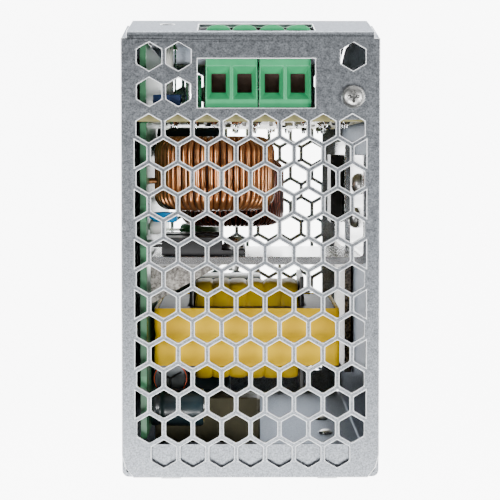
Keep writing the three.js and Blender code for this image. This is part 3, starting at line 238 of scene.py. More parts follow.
def tape(name, colour, deep):
    film = Surface(name, colour, 0.5, Specular_IOR_Level=0.15)
    film.tint(film.noise(70, 3), deep, colour, 0.25, 0.6)
    film.bump(film.noise(150, 2, (0.4, 1, 1)), 0.12, 0.5)
    film.bump(film.noise(1300, 2), 0.006, 0.4)
    return film.material


def sleeve(name, colour, glow):
    skin = Surface(name, colour, 0.34, Coat_Weight=0.25, Coat_Roughness=0.15)
    skin.tint(skin.noise(60, 2), colour, glow, 0.45, 0.75)
    skin.bump(skin.noise(300, 2), 0.03, 0.3)
    return skin.material


def ferrite():
    core = Surface("ferrite", (0.035, 0.035, 0.038), 0.55, 0.1)
    core.shade(core.noise(300, 4), 0.3)
    core.bump(core.noise(1800, 4), 0.03, 0.6)
    return core.material


def solder():
    joint = Surface("solder", (0.72, 0.73, 0.74), 0.22, 1.0)
    joint.shade(joint.noise(1200, 3), 0.15)
    joint.bump(joint.noise(2000, 2), 0.01, 0.6)
    return joint.material


MATERIALS = {
    "galvanised_sheet": galvanised(),
    "film": plastic("film", (0.02, 0.02, 0.02), 0.5),
    "zinc_screw": zinc("zinc_screw", (0.42, 0.42, 0.41), 0.30),
    "clip_steel": zinc("clip_steel", (0.52, 0.54, 0.57), 0.34),
    "spring_steel": zinc("spring_steel", (0.42, 0.42, 0.42), 0.30),
    "rivet_steel": zinc("rivet_steel", (0.58, 0.58, 0.58), 0.32),
    "board_laminate": laminate("board_laminate", (0.035, 0.13, 0.06)),
    "front_board_laminate": laminate("front_board_laminate", (0.30, 0.27, 0.12)),
    "green_plastic": plastic("green_plastic", (0.03, 0.30, 0.12), 0.34),
    "terminal_steel": zinc("terminal_steel", (0.62, 0.60, 0.56), 0.28),
    "clamp_steel": zinc("clamp_steel", (0.34, 0.24, 0.17), 0.42),
    "adjuster_case": plastic("adjuster_case", (0.02, 0.05, 0.16), 0.4),
    "adjuster_white": plastic("adjuster_white", (0.75, 0.73, 0.68), 0.42),
    "lamp_green": plastic("lamp_green", (0.05, 0.35, 0.08), 0.12, Coat_Weight=0.6),
    "ferrite": ferrite(),
    "copper_wire": enamelled_copper("copper_wire", (0.36, 0.14, 0.045), 0.30),
    # The filter choke's copper, darkened as painted shade: that coil lies deeper, in shadow.
    "dark_copper_wire": enamelled_copper("dark_copper_wire", (0.20, 0.055, 0.03), 0.38),
    "yellow_tape": tape("yellow_tape", (0.72, 0.45, 0.0), (0.50, 0.28, 0.0)),
    "black_nylon": plastic("black_nylon", (0.012, 0.012, 0.012), 0.38),
    "capacitor_sleeve": sleeve("capacitor_sleeve", (0.006, 0.009, 0.011), (0.008, 0.030, 0.040)),
    "blue_lacquer": sleeve("blue_lacquer", (0.005, 0.17, 0.42), (0.01, 0.24, 0.52)),
    "box_capacitor_case": plastic("box_capacitor_case", (0.13, 0.12, 0.07), 0.45),
    "thermistor_coating": plastic("thermistor_coating", (0.02, 0.05, 0.02), 0.5, 0.02),
    "heatsink_aluminium": aluminium(),
    "package_epoxy": plastic("package_epoxy", (0.014, 0.014, 0.015), 0.45),
}
SOLDER = solder()
TIN = zinc("tinned_lead", (0.72, 0.72, 0.72), 0.25)
BROWN = plastic("shadowed_back_plate", (0.15, 0.095, 0.07), 0.55)
VENT = zinc("vent_disc", (0.16, 0.17, 0.18), 0.4)
RED_RIM = plastic("sleeve_rim", (0.55, 0.07, 0.02), 0.4)
PALE = plastic("pale_ceramic", (0.62, 0.61, 0.58), 0.5)


# ---------------------------------------------------------------------------------------------
# Mesh helpers. Shapes are made in millimetres and scaled when they become objects.
# ---------------------------------------------------------------------------------------------

def new_object(name, bm, materials, sharp=35):
    """A smooth-shaded mesh object whose edges over `sharp` degrees stay crisp."""
    bmesh.ops.scale(bm, vec=(MM, MM, MM), verts=bm.verts)
    bmesh.ops.recalc_face_normals(bm, faces=bm.faces)
    for face in bm.faces:
        face.smooth = True
    for edge in bm.edges:
        if len(edge.link_faces) == 2 and edge.calc_face_angle() > math.radians(sharp):
            edge.smooth = False
    mesh = bpy.data.meshes.new(name)
    bm.to_mesh(mesh)
    bm.free()
    for material in materials if isinstance(materials, (list, tuple)) else [materials]:
        mesh.materials.append(material)
    piece = bpy.data.objects.new(name, mesh)
    bpy.context.scene.collection.objects.link(piece)
    return piece


def stand_in(piece, *nodes):
    """The piece is shown in place of CAD nodes and moves with their body."""
    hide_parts(*nodes)
    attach(piece, BODY_OF[nodes[0]])


def extra(piece, body="root"):
    """A piece with no CAD node of its own."""
    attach(piece, body)


def lathe(bm, axis, profile, centre, segments=48, material=0):
    """Turns [radius, place] points about an axis through `centre`; the ends lie on the axis."""
    turn = AXES[axis]
    rings = []
    for radius, place in profile:
        count = 1 if radius < 1e-6 else segments
        ring = []
        for step in range(count):
            angle = 2 * math.pi * step / segments
            local = Vector((radius * math.cos(angle), radius * math.sin(angle), place))
            ring.append(bm.verts.new(turn @ local + Vector(centre)))
        rings.append(ring)
    for low, high in zip(rings, rings[1:]):
        for step in range(segments):
            after = (step + 1) % segments
            around = [
                low[step % len(low)], low[after % len(low)],
                high[after % len(high)], high[step % len(high)],
            ]
            corners = list(dict.fromkeys(around))
            if len(corners) > 2:
                bm.faces.new(corners).material_index = material


def rounded(profile, radius, steps=4):
    """A profile with each inner corner softened."""
    result = [profile[0]]
    for before, corner, after in zip(profile, profile[1:], profile[2:]):
        a, b, c = Vector(before), Vector(corner), Vector(after)
        reach = min(radius, (a - b).length * 0.45, (c - b).length * 0.45)
        start = b + (a - b).normalized() * reach
        end = b + (c - b).normalized() * reach
        for step in range(steps + 1):
            t = step / steps
            point = (1 - t) ** 2 * start + 2 * t * (1 - t) * b + t * t * end
            result.append((point.x, point.y))
    return [*result, profile[-1]]


def tube(bm, path, radius, sides=8, closed=False, material=0):
    """A round tube along points, with capped ends unless it is closed."""
    points = [Vector(point) for point in path]
    count = len(points)
    normal = None
    rings = []
    for index, point in enumerate(points):
        after = points[(index + 1) % count] if closed or index < count - 1 else point
        before = points[index - 1] if closed or index else point
        tangent = (after - before).normalized()
        if normal is None:
            normal = tangent.orthogonal().normalized()
        normal = (normal - tangent * normal.dot(tangent)).normalized()
        side = tangent.cross(normal)
        ring = []
        for step in range(sides):
            angle = 2 * math.pi * step / sides
            outward = math.cos(angle) * normal + math.sin(angle) * side
            ring.append(bm.verts.new(point + radius * outward))
        rings.append(ring)
    for low, high in zip(rings, rings[1:] + ([rings[0]] if closed else [])):
        for step in range(sides):
            after = (step + 1) % sides
            bm.faces.new((low[step], low[after], high[after], high[step])).material_index = material
    if not closed:
        bm.faces.new(rings[0]).material_index = material
        bm.faces.new(rings[-1]).material_index = material


def slab(bm, low, high, bevel=0.0, segments=2, material=0):
    """A box between two corners with rounded edges."""
    size = Vector(high) - Vector(low)
    centre = (Vector(high) + Vector(low)) / 2
    place = Matrix.Translation(centre) @ Matrix.Diagonal((*size, 1))
    made = bmesh.ops.create_cube(bm, size=1, matrix=place)
    faces = {face for vert in made["verts"] for face in vert.link_faces}
    if bevel:
        edges = list({edge for vert in made["verts"] for edge in vert.link_edges})
        cut = bmesh.ops.bevel(
            bm, geom=edges, offset=bevel, segments=segments, affect="EDGES", profile=0.6
        )
        faces = {face for vert in cut["verts"] for face in vert.link_faces}
    for face in faces:
        face.material_index = material


def subtract(piece, cutter):
    """Cuts one mesh object by another and removes the cutter."""
    modifier = piece.modifiers.new("cut", "BOOLEAN")
    modifier.operation = "DIFFERENCE"
    modifier.solver = "EXACT"
    modifier.object = cutter
    shape = bpy.data.meshes.new_from_object(piece.evaluated_get(bpy.context.evaluated_depsgraph_get()))
    piece.modifiers.clear()
    bm = bmesh.new()
    bm.from_mesh(shape)
    bmesh.ops.remove_doubles(bm, verts=bm.verts, dist=1e-7)
    for face in bm.faces:
        face.smooth = True
    for edge in bm.edges:
        edge.smooth = not (len(edge.link_faces) == 2 and edge.calc_face_angle() > math.radians(35))
    bm.to_mesh(piece.data)
    bm.free()
    bpy.data.objects.remove(cutter)


def soften(piece, width_mm, segments=2, edge_slot=None):
    """Rounds the sharp edges of a piece, in a second material if one is named."""
    weld = piece.modifiers.new("weld", "WELD")
    weld.merge_threshold = 2e-6
    bevel = piece.modifiers.new("edges", "BEVEL")
    bevel.width = width_mm * MM
    bevel.segments = segments
    bevel.limit_method = "ANGLE"
    bevel.angle_limit = math.radians(40)
    if edge_slot is not None:
        bevel.material = edge_slot
        bevel.use_clamp_overlap = False


def dress(node, width_mm=0.12, segments=2, edge_material=None):
    """A CAD node whose shape is right: welded, edge-rounded and given its material."""
    piece = NODES[node]
    piece.data.materials.clear()
    piece.data.materials.append(MATERIALS[SLOTS[node]])
    if edge_material:
        piece.data.materials.append(edge_material)
    soften(piece, width_mm, segments, 1 if edge_material else None)


def span(node):
    """A CAD node's box in millimetres."""
    low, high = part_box(node)
    return Vector(low) / MM, Vector(high) / MM


def middle(node):
    low, high = span(node)
    return (low + high) / 2


# ---------------------------------------------------------------------------------------------
# Camera, floor and lights
# ---------------------------------------------------------------------------------------------

def make_camera():
    data = bpy.data.cameras.new("camera")
    data.sensor_width = 36
    data.lens = 104.79
    data.shift_y = -0.08
    data.clip_start = 0.01
    data.clip_end = 10
    camera = bpy.data.objects.new("camera", data)
    camera.location = (2.98 * MM, -85.12 * MM, 416.38 * MM)
    camera.rotation_euler = [math.radians(angle) for angle in (-2.259, -0.459, 180.007)]
    bpy.context.scene.collection.objects.link(camera)
    bpy.context.scene.camera = camera


def area_light(name, location, target, size, power, colour=(1, 1, 1)):
    data = bpy.data.lights.new(name, "AREA")
    data.shape = "RECTANGLE"
    data.size, data.size_y = size
    data.energy = power
    data.color = colour
    light = bpy.data.objects.new(name, data)
    light.location = location
    light.rotation_euler = (Vector(target) - Vector(location)).to_track_quat("-Z", "Y").to_euler()
    bpy.context.scene.collection.objects.link(light)


FLOOR_GAP = 0.4  # between the floor and the lowest point
FLOOR_REACH = 3000


def make_stage():
    bm = bmesh.new()
    level = Matrix.Translation((0, 0, CAD_BOX[0].z / MM - FLOOR_GAP))
    bmesh.ops.create_grid(bm, x_segments=8, y_segments=8, size=FLOOR_REACH, matrix=level)
    paper = Surface("floor_paper", (0.9, 0.9, 0.9), 0.6)
    paper.set("Emission Color", (1, 1, 1, 1))
    paper.set("Emission Strength", 7.5)
    paper.shade(paper.noise(30, 3), 0.01)
    new_object("floor", bm, paper.material)
    world = bpy.data.worlds.new("studio")
    world.use_nodes = True
    world.node_tree.nodes["Background"].inputs["Color"].default_value = (0.95, 0.97, 1, 1)
    world.node_tree.nodes["Background"].inputs["Strength"].default_value = 0.07
    bpy.context.scene.world = world
    area_light("rear_softbox", (0.03, 0.25, 0.62), (0, 0.0, 0.06), (0.50, 0.14), 5.2)
    area_light("right_softbox", (-0.42, -0.04, 0.52), (0, -0.06, 0.0), (0.12, 0.12), 3.8)
    area_light("left_softbox", (0.42, -0.10, 0.52), (0, -0.06, 0.0), (0.12, 0.12), 2.8)
    area_light("front_softbox", (-0.10, -0.60, 0.35), (0, -0.11, 0.03), (0.5, 0.35), 0.6)


make_camera()
make_stage()


# ---------------------------------------------------------------------------------------------
# Case: cover, chassis and their screws
# ---------------------------------------------------------------------------------------------

def highlit_cut_edge():
    # Bare cut steel on the hole walls, made near white as a painted highlight.
    edge = Surface("highlit_cut_edge", (0.86, 0.88, 0.90), 0.5, 0.25)
    edge.shade(edge.noise(1500, 3), 0.10)
    edge.bump(edge.noise(2400, 2), 0.004, 0.4)
    return edge.material



# The cover's bevelled hole edges take the near-white painted highlight material.
dress("cover", 0.20, 2, highlit_cut_edge())
dress("chassis", 0.15)
dress("insulating_film", 0.05)


def plus_cutter(axis_sign, x, y, z_floor, z_top, arm, half):
    """A tapering cross, deepest in the middle, that opens a drive recess."""
    outline = [
        (-arm, -half), (-half, -half), (-half, -arm), (half, -arm), (half, -half), (arm, -half),
        (arm, half), (half, half), (half, arm), (-half, arm), (-half, half), (-arm, half),
    ]
    bm = bmesh.new()
    rings = []
    for place, scale in ((z_floor, 0.55), (z_top, 1.0)):
        rings.append([bm.verts.new((x + u * scale, y + v * scale, place)) for u, v in outline])
    for step in range(len(outline)):
        after = (step + 1) % len(outline)
        bm.faces.new((rings[0][step], rings[0][after], rings[1][after], rings[1][step]))
    bm.faces.new(rings[0])
    bm.faces.new(rings[1])
    return new_object("cutter", bm, MATERIALS["zinc_screw"])


COVER_HEAD = 2.0


def make_cover_screw(node, end):
    """A domed cover screw with a cross recess and a threaded shank."""
    low, high = span(node)
    x, y = middle(node).x, middle(node).y
    crown = high.z if end > 0 else low.z
    seat = crown - end * COVER_HEAD
    crest = [(2.88, 0.06), (2.93, 0.35), (2.86, 0.8), (2.55, 1.3), (1.95, 1.7), (1.15, 1.93), (0, 1.99)]
    shank = [
        (0, -4.4), (1.1, -4.4), (1.45, -4.0), (1.2, -3.7), (1.48, -3.4), (1.2, -3.1),
        (1.48, -2.8), (1.2, -2.5), (1.48, -2.2), (1.25, -1.9), (1.48, -1.6), (1.48, 0.06),
    ]
    bm = bmesh.new()
    lathe(bm, "z", [(radius, seat + end * place) for radius, place in shank + crest], (x, y, 0), 56)
    screw = new_object(node + "_shape", bm, MATERIALS["zinc_screw"], 50)
    subtract(screw, plus_cutter(end, x, y, seat + end * 0.75, seat + end * 2.4, 1.75, 0.42))
    soften(screw, 0.07)
    stand_in(screw, node)


make_cover_screw("cover_screw_top", 1)
make_cover_screw("cover_screw_bottom", -1)


# ---------------------------------------------------------------------------------------------
# Rail clip: bracket, latch, spring and rivets
# ---------------------------------------------------------------------------------------------

dress("rail_bracket", 0.3, 3)
dress("rail_latch", 0.3, 3)


def make_spring():
    """A coil with closed end turns."""
    low, high = span("latch_spring")
    wire = 0.24
    radius = (high.x - low.x) / 2 - wire
    turns = 9
    steps = 14 * turns
    closed_end = 1.2 / turns
    closed_rise = 0.04
    centre = middle("latch_spring")
    foot, top = low.z + wire, high.z - wire
    path = []
    for step in range(steps + 1):
        share = step / steps
        angle = 2 * math.pi * turns * share
        rise = min(max((share - closed_end) / (1 - 2 * closed_end), 0), 1)
        rise = closed_rise * share + (1 - closed_rise) * rise
        x = centre.x + radius * math.cos(angle)
        y = centre.y + radius * math.sin(angle)
        path.append((x, y, foot + (top - foot) * rise))
    bm = bmesh.new()
    tube(bm, path, wire, 8)
    spring = new_object("latch_spring_coil", bm, MATERIALS["spring_steel"])
    stand_in(spring, "latch_spring")
    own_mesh(spring)


make_spring()


def make_rivet(node):
    """A hollow rivet with a rolled tail and a domed head."""
    low, high = span(node)
    x, z = middle(node).x, middle(node).z
    profile = rounded([
        (0, low.y), (1.1, low.y), (1.9, low.y + 0.45), (1.95, low.y + 0.93),
        (1.48, low.y + 0.95), (1.48, high.y - 0.95), (2.55, high.y - 0.93), (2.5, high.y - 0.5),
        (1.5, high.y - 0.05), (1.1, high.y), (1.05, high.y - 0.5), (0, high.y - 0.6),
    ], 0.15, 2)
    bm = bmesh.new()
    lathe(bm, "y", profile, (x, 0, z), 36)
    stand_in(new_object(node + "_shape", bm, MATERIALS["rivet_steel"], 60), node)


for number in range(1, 5):
    make_rivet(f"bracket_rivet_{number}")


# ---------------------------------------------------------------------------------------------
# Boards, solder and small parts
# ---------------------------------------------------------------------------------------------

dress("main_board", 0.08, 1)
dress("front_board", 0.08, 1)


SOLDER_ROWS = (57.6, 53.4, 44.6, -44.6, -53.4, -57.6)
SOLDER_COLUMNS = 9
SOLDER_START = -23.5
SOLDER_PITCH = 5.4
CHIPS = 26
CHIP_SIZES = ((1.6, 0.8), (2.0, 1.25), (3.2, 1.6))
CHIP_CAP = 0.28  # length of the plated end
CHIP_CAP_PROUD = 0.05


def solder_joint(bm, x, y, z, side, size, pin):
    """A cone of solder round a clipped pin, standing off a board's face along Y."""
    profile = [
        (0, 0), (size, 0), (size * 0.75, 0.18), (size * 0.42, 0.55),
        (pin, 0.9), (pin, 1.35), (pin * 0.6, 1.45), (0, 1.47),
    ]
    lathe(bm, "y", [(radius, side * place) for radius, place in profile], (x, y, z), 12)


def chip(bm, x, z, face, half, tall, along_x, body):
    """A surface-mount block with plated ends."""
    slab(bm, (x - half[0], face, z - half[1]), (x + half[0], face + tall, z + half[1]), 0.08, 1, body)
    for end in (-1, 1):
        reach, across = (half[0], half[1]) if along_x else (half[1], half[0])
        ends = sorted((end * (reach + CHIP_CAP_PROUD), end * (reach - CHIP_CAP)))
        low = (x + ends[0], face, z - across) if along_x else (x - across, face, z + ends[0])
        high = (x + ends[1], face + tall, z + across) if along_x else (x + across, face + tall, z + ends[1])
        slab(bm, low, high, 0.06, 1, 2)


def make_front_board_parts():
    """The rear of the front board: rows of soldered pins among small chips."""
    dice = random.Random(7)
    face = span("front_board")[1].y
    bm = bmesh.new()
    for z in SOLDER_ROWS:
        for column in range(SOLDER_COLUMNS):
            x = SOLDER_START + column * SOLDER_PITCH + dice.uniform(-0.9, 0.9)
            solder_joint(bm, x, face, z + dice.uniform(-0.7, 0.7), 1, dice.uniform(0.75, 1.25), 0.3)
    extra(new_object("front_board_solder", bm, SOLDER))
    bm = bmesh.new()
    for _ in range(CHIPS):
        x = dice.uniform(-26, 22)
        z = dice.choice((dice.uniform(38, 56), dice.uniform(-56, 36)))
        long, wide = dice.choice(CHIP_SIZES)
        tall = dice.uniform(0.5, 0.9)
        along_x = dice.random() < 0.5
        half = (long / 2, wide / 2) if along_x else (wide / 2, long / 2)
        body = 0 if dice.random() < 0.5 else 1
        chip(bm, x, z, face, half, tall, along_x, body)
    skins = [MATERIALS["package_epoxy"], MATERIALS["box_capacitor_case"], TIN]
    extra(new_object("front_board_chips", bm, skins))


make_front_board_parts()


# ---------------------------------------------------------------------------------------------
# Terminal blocks
# ---------------------------------------------------------------------------------------------

OUTPUT_POLES = [7.825, 1.475, -5.275, -11.625]
INPUT_POLES = [4.45, -1.9, -8.25]

for node in ("output_terminal_1", "output_terminal_2", "input_terminal"):
    dress(node, 0.22, 3)
for kind, poles in (("output", OUTPUT_POLES), ("input", INPUT_POLES)):
    for number in range(1, len(poles) + 1):
        dress(f"{kind}_clamp_{number}", 0.12)
        dress(f"{kind}_screw_{number}", 0.12)


BLOCK_FACE_Z = 60.6
BAR_BELOW_BOARD = 11.05
BAR_HALF = (1.65, 0.4)
BAR_DEPTH = (2.35, 11.2)  # from the block's open face inwards
PLATE_DEPTH = (10.4, 11.2)
PIN_DEPTH = (9.9, 10.9)
PLATE_HALF = 2.0
PIN_HALF = 0.5


def make_contact_bars(kind, poles, end):
    """The fixed tongue that each clamp presses a wire against, with its pin down to the board."""
    base = span("front_board")[0].y
    y_bar = base - BAR_BELOW_BOARD
    bar, plate, pin = (
        sorted(end * (BLOCK_FACE_Z - depth) for depth in depths)
        for depths in (BAR_DEPTH, PLATE_DEPTH, PIN_DEPTH)
    )
    half, thick = BAR_HALF
    bm = bmesh.new()
    for x in poles:
        slab(bm, (x - half, y_bar - thick, bar[0]), (x + half, y_bar + thick, bar[1]), 0.1, 1)
        slab(bm, (x - PLATE_HALF, y_bar + 0.3, plate[0]), (x + PLATE_HALF, base - 0.35, plate[1]), 0.1, 1, 1)
        slab(bm, (x - PIN_HALF, base - 0.4, pin[0]), (x + PIN_HALF, base + 2.6, pin[1]), 0.1, 1)
    bars = new_object(f"{kind}_contact_bars", bm, [TIN, BROWN])
    extra(bars)


make_contact_bars("output", OUTPUT_POLES, 1)
make_contact_bars("input", INPUT_POLES, -1)


# ---------------------------------------------------------------------------------------------
# Adjuster and lamp
# ---------------------------------------------------------------------------------------------

dress("adjuster_body", 0.3, 3)
dress("adjuster_rotor", 0.12)


def make_lamp():
    """A round indicator lamp with a collar and two leads."""
    low, high = span("status_lamp")
    x, z = middle("status_lamp").x, middle("status_lamp").z
    tip = low.y
    bm = bmesh.new()
    dome = [(0, tip)] + [
        (1.5 * math.sin(angle), tip + 1.5 * (1 - math.cos(angle)))
        for angle in (math.radians(15 * step) for step in range(1, 7))
    ]
    collar = [(1.5, tip + 5.9), (1.88, tip + 6.0), (1.88, tip + 6.9), (0, tip + 7.0)]
    lathe(bm, "y", dome + collar, (x, 0, z), 36)
    for shift in (-1.27, 1.27):
        tube(bm, [(x + shift, tip + 6.9, z), (x + shift, high.y, z)], 0.25, 8, material=1)
    stand_in(new_object("status_lamp_shape", bm, [MATERIALS["lamp_green"], TIN]), "status_lamp")


make_lamp()


# ---------------------------------------------------------------------------------------------
# Wound parts
# ---------------------------------------------------------------------------------------------

def toroid_turn(centre, angle, outer, inner, half, corner=3.2, steps=5):
    """One turn of wire round a ring core: a rounded rectangle in the plane at an angle about Y."""
    points = []
    corners = [(outer, half, 0), (inner, half, 1), (inner, -half, 2), (outer, -half, 3)]
    for radius, height, quarter in corners:
        soft = min(corner, (outer - inner) * 0.45) * (0.55 if radius == inner else 1)
        mid_r = radius + (-soft if radius == outer else soft)
        mid_h = height - math.copysign(soft, height)
        for step in range(steps + 1):
            turn = (quarter + step / steps) * math.pi / 2
            points.append((mid_r + soft * math.cos(turn), mid_h + soft * math.sin(turn)))
    return [
        (centre.x + r * math.cos(angle), centre.y + h, centre.z + r * math.sin(angle))
        for r, h in points
    ]


CHOKE_BORE = 5.2
CHOKE_GAP = 0.5  # angle left between the first and last turns
CHOKE_EDGE = 0.06
CHOKE_INSET = 0.02


def make_choke(winding, core, turns, wire, sides, material):
    """Round turns of wire on a ring core, with two tails to the board."""
    low, high = span(winding)
    centre = (low + high) / 2
    radius = (high.z - low.z) / 2
    centre.x = low.x + radius
    half = (high.y - low.y) / 2
    first = CHOKE_GAP / 2 + CHOKE_EDGE
    dice = random.Random(len(winding))
    bm = bmesh.new()
    for turn in range(turns):
        angle = first + (2 * math.pi - CHOKE_GAP - 2 * CHOKE_EDGE) * turn / (turns - 1)
        angle += dice.uniform(-0.004, 0.004)
        inset = wire + CHOKE_INSET + dice.uniform(0, 0.05)
        layer = 0.0 if turn % 2 else 0.55
        path = toroid_turn(centre, angle, radius - inset, CHOKE_BORE + wire + layer, half - inset)
        tube(bm, path, wire, sides, closed=True)
    rim = span("main_board")[0].x
    for angle in (first, 2 * math.pi - first):
        x = centre.x + (radius - wire) * math.cos(angle)
        y = centre.y + 2
        z = centre.z + (radius - wire) * math.sin(angle)
        tube(bm, [(x - 1.5, y, z), (min(x + 1, rim - 0.6), y, z), (rim, y, z)], wire * 0.95, 8)
    stand_in(new_object(winding + "_wire", bm, material, 80), winding)
    dress(core, 0.6, 3)


make_choke("output_choke_winding", "output_choke_core", 52, 0.72, 10, MATERIALS["copper_wire"])
# The filter choke's wire colour is copper darkened as painted shade.
make_choke("filter_choke_winding", "filter_choke_core", 56, 0.70, 8, MATERIALS["dark_copper_wire"])


TAPE_WALL = 0.85
TAPE_CORNER = 1.6
TAPE_STEP = 1.4
TAPE_ROWS = 15
TAPE_CREASE = 0.30


def make_tape():
    """The wrapped band: crinkled faces, a crease round its middle and soft edges."""
    low, high = span("transformer_tape")
    x0, x1, z0, z1 = (
        low.x + TAPE_CORNER, high.x - TAPE_CORNER, low.z + TAPE_CORNER, high.z - TAPE_CORNER
    )
    around = []
    for quarter, (cx, cz) in enumerate(((x1, z1), (x0, z1), (x0, z0), (x1, z0))):
        for step in range(6):
            turn = (quarter + step / 5) * math.pi / 2
            c, s = math.cos(turn), math.sin(turn)
            around.append((cx + TAPE_CORNER * c, cz + TAPE_CORNER * s, c, s))
    dense = []
    for index, point in enumerate(around):
        following = around[(index + 1) % len(around)]
        gap = math.hypot(following[0] - point[0], following[1] - point[1])
        pieces = max(1, int(gap / TAPE_STEP))
        for part in range(pieces):
            t = part / pieces
            dense.append(tuple(a + (b - a) * t for a, b in zip(point, following)))
    dice = random.Random(3)
    phases = [(dice.uniform(0.25, 0.9), dice.uniform(0, 6.3), dice.uniform(-0.8, 0.8)) for _ in range(5)]
    bm = bmesh.new()
    outer, inner = [], []
    for row in range(TAPE_ROWS):
        v = row / (TAPE_ROWS - 1)
        y = low.y + 0.05 + (high.y - low.y - 0.1) * v
        crease = math.exp(-((v - 0.47) * 14) ** 2) * TAPE_CREASE
        rim = 0.10 * (max(0, abs(v - 0.5) - 0.46) / 0.04)
        ring_out, ring_in = [], []
        for place, (x, z, nx, nz) in enumerate(dense):
            run = place * TAPE_STEP
            crinkle = [math.sin(freq * run + phase + slant * (y - low.y)) for freq, phase, slant in phases]
            sink = 0.07 + 0.055 * sum(crinkle) / 5 + crease + rim
            ring_out.append(bm.verts.new((x - nx * sink, y, z - nz * sink)))
            ring_in.append(bm.verts.new((x - nx * TAPE_WALL, y, z - nz * TAPE_WALL)))
        outer.append(ring_out)
        inner.append(ring_in)
    for step in range(len(dense)):
        after = (step + 1) % len(dense)
        for row in range(TAPE_ROWS - 1):
            above = row + 1
            bm.faces.new((outer[row][step], outer[row][after], outer[above][after], outer[above][step]))
            bm.faces.new((inner[row][step], inner[above][step], inner[above][after], inner[row][after]))
        bm.faces.new((outer[0][step], inner[0][step], inner[0][after], outer[0][after]))
        bm.faces.new((outer[-1][step], outer[-1][after], inner[-1][after], inner[-1][step]))
    stand_in(new_object("transformer_tape_band", bm, MATERIALS["yellow_tape"], 60), "transformer_tape")


make_tape()
dress("transformer_core", 0.35, 2)
dress("transformer_bobbin", 0.25, 2)


WINDING_BORE = 8.75
WINDING_LAPS = 6
WINDING_SIDES = 96
WINDING_ROWS = 61
SQUARENESS = 0.42  # power that flattens a circle towards a square
# The yellow tape darkened to olive: painted shade for the winding, which lies in shadow.
SHADED_YELLOW_TAPE = tape("shaded_yellow_tape", (0.46, 0.30, 0.004), (0.26, 0.18, 0.004))


def make_transformer_winding():
    """Taped coil layers round the X axis: bellies of tape between the seams of its laps, in yellow tape darkened
    to olive as painted shade.
    """
    low, high = span("transformer_winding")
    centre = middle("transformer_winding")
    half_y, half_z = (high.y - low.y) / 2, (high.z - low.z) / 2
    turns = [2 * math.pi * step / WINDING_SIDES for step in range(WINDING_SIDES)]
    bm = bmesh.new()
    rings = []
    for row in range(WINDING_ROWS):
        v = row / (WINDING_ROWS - 1)
        x = low.x + (high.x - low.x) * v
        groove = 0.55 * (1 - abs(math.sin(math.pi * WINDING_LAPS * v)) ** 0.4)
        ring = []
        for angle in turns:
            c, s = math.cos(angle), math.sin(angle)
            sink = 0.12 + groove + 0.08 * (1 + math.sin(7 * angle + 9 * v))
            y = centre.y + math.copysign(abs(c) ** SQUARENESS, c) * (half_y - sink)
            z = centre.z + math.copysign(abs(s) ** SQUARENESS, s) * (half_z - sink)
            ring.append(bm.verts.new((x, y, z)))
        rings.append(ring)
    inner = []
    for x in (low.x, high.x):
        inner.append([
            bm.verts.new((x, centre.y + WINDING_BORE * math.cos(turn), centre.z + WINDING_BORE * math.sin(turn)))
            for turn in turns
        ])
    for step in range(WINDING_SIDES):
        after = (step + 1) % WINDING_SIDES
        for row in range(WINDING_ROWS - 1):
            bm.faces.new((rings[row][step], rings[row][after], rings[row + 1][after], rings[row + 1][step]))
        bm.faces.new((rings[0][step], inner[0][step], inner[0][after], rings[0][after]))
        bm.faces.new((rings[-1][step], rings[-1][after], inner[1][after], inner[1][step]))
        bm.faces.new((inner[0][step], inner[1][step], inner[1][after], inner[0][after]))
    stand_in(new_object("transformer_winding_wraps", bm, SHADED_YELLOW_TAPE, 50), "transformer_winding")


make_transformer_winding()


# ---------------------------------------------------------------------------------------------
# Capacitors and other board parts
# ---------------------------------------------------------------------------------------------

def can_profile(radius, base, vent):
    """From the board end to the vent end: rubber bung, crimp groove, sleeve lip and scored top."""
    way = 1 if vent > base else -1
    bung = base + way * 0.02
    return (
        [(0, bung), (radius * 0.86, bung)],
        rounded([
            (radius * 0.86, bung), (radius - 0.25, base + way * 0.35),
            (radius - 0.08, base + way * 1.4), (radius - 0.75, base + way * 2.5),
            (radius - 0.08, base + way * 3.5), (radius - 0.06, vent - way * 1.0),
            (radius - 0.3, vent - way * 0.15), (radius * 0.84, vent - way * 0.05),
        ], 0.5, 4),
        [(radius * 0.84, vent - way * 0.05), (radius * 0.82, vent - way * 0.35), (0, vent - way * 0.35)],
    )


CAN_SIDES = 56


def make_can(node, axis, vent_low, top_skin=TIN, rim_skin=None):
    """A sleeved electrolytic can with a scored vent end and, if named, a coloured sleeve rim."""
    low, high = span(node)
    centre = middle(node)
    index = "xyz".index(axis)
    radius = min((high - low)[i] for i in range(3) if i != index) / 2
    place = centre.copy()
    place[index] = 0
    base, vent = (high[index], low[index]) if vent_low else (low[index], high[index])
    bung, body, top = can_profile(radius, base, vent)
    bm = bmesh.new()
    lathe(bm, axis, bung, place, CAN_SIDES, 2)
    lathe(bm, axis, body, place, CAN_SIDES, 0)
    lathe(bm, axis, top, place, CAN_SIDES, 1)
    bmesh.ops.remove_doubles(bm, verts=bm.verts, dist=1e-4)
    way = 1 if vent > base else -1
    for turn in (90, 210, 330):
        a = math.radians(turn)
        reach = radius * 0.7
        u, v = math.cos(a) * reach, math.sin(a) * reach
        lift = vent - way * 0.33
        score = [AXES[axis] @ Vector((*point, lift)) + place for point in ((0, 0), (u, v))]
        tube(bm, score, 0.28, 6, material=2)
    if rim_skin:
        reach, lift = radius * 0.88, vent - way * 0.25
        ring = [
            AXES[axis] @ Vector((reach * math.cos(turn), reach * math.sin(turn), lift)) + place
            for turn in (2 * math.pi * step / CAN_SIDES for step in range(CAN_SIDES))
        ]
        tube(bm, ring, 0.22, 6, closed=True, material=3)
    skins = [MATERIALS["capacitor_sleeve"], top_skin, MATERIALS["black_nylon"], rim_skin or top_skin]
    can = new_object(node + "_can", bm, skins, 40)
    stand_in(can, node)


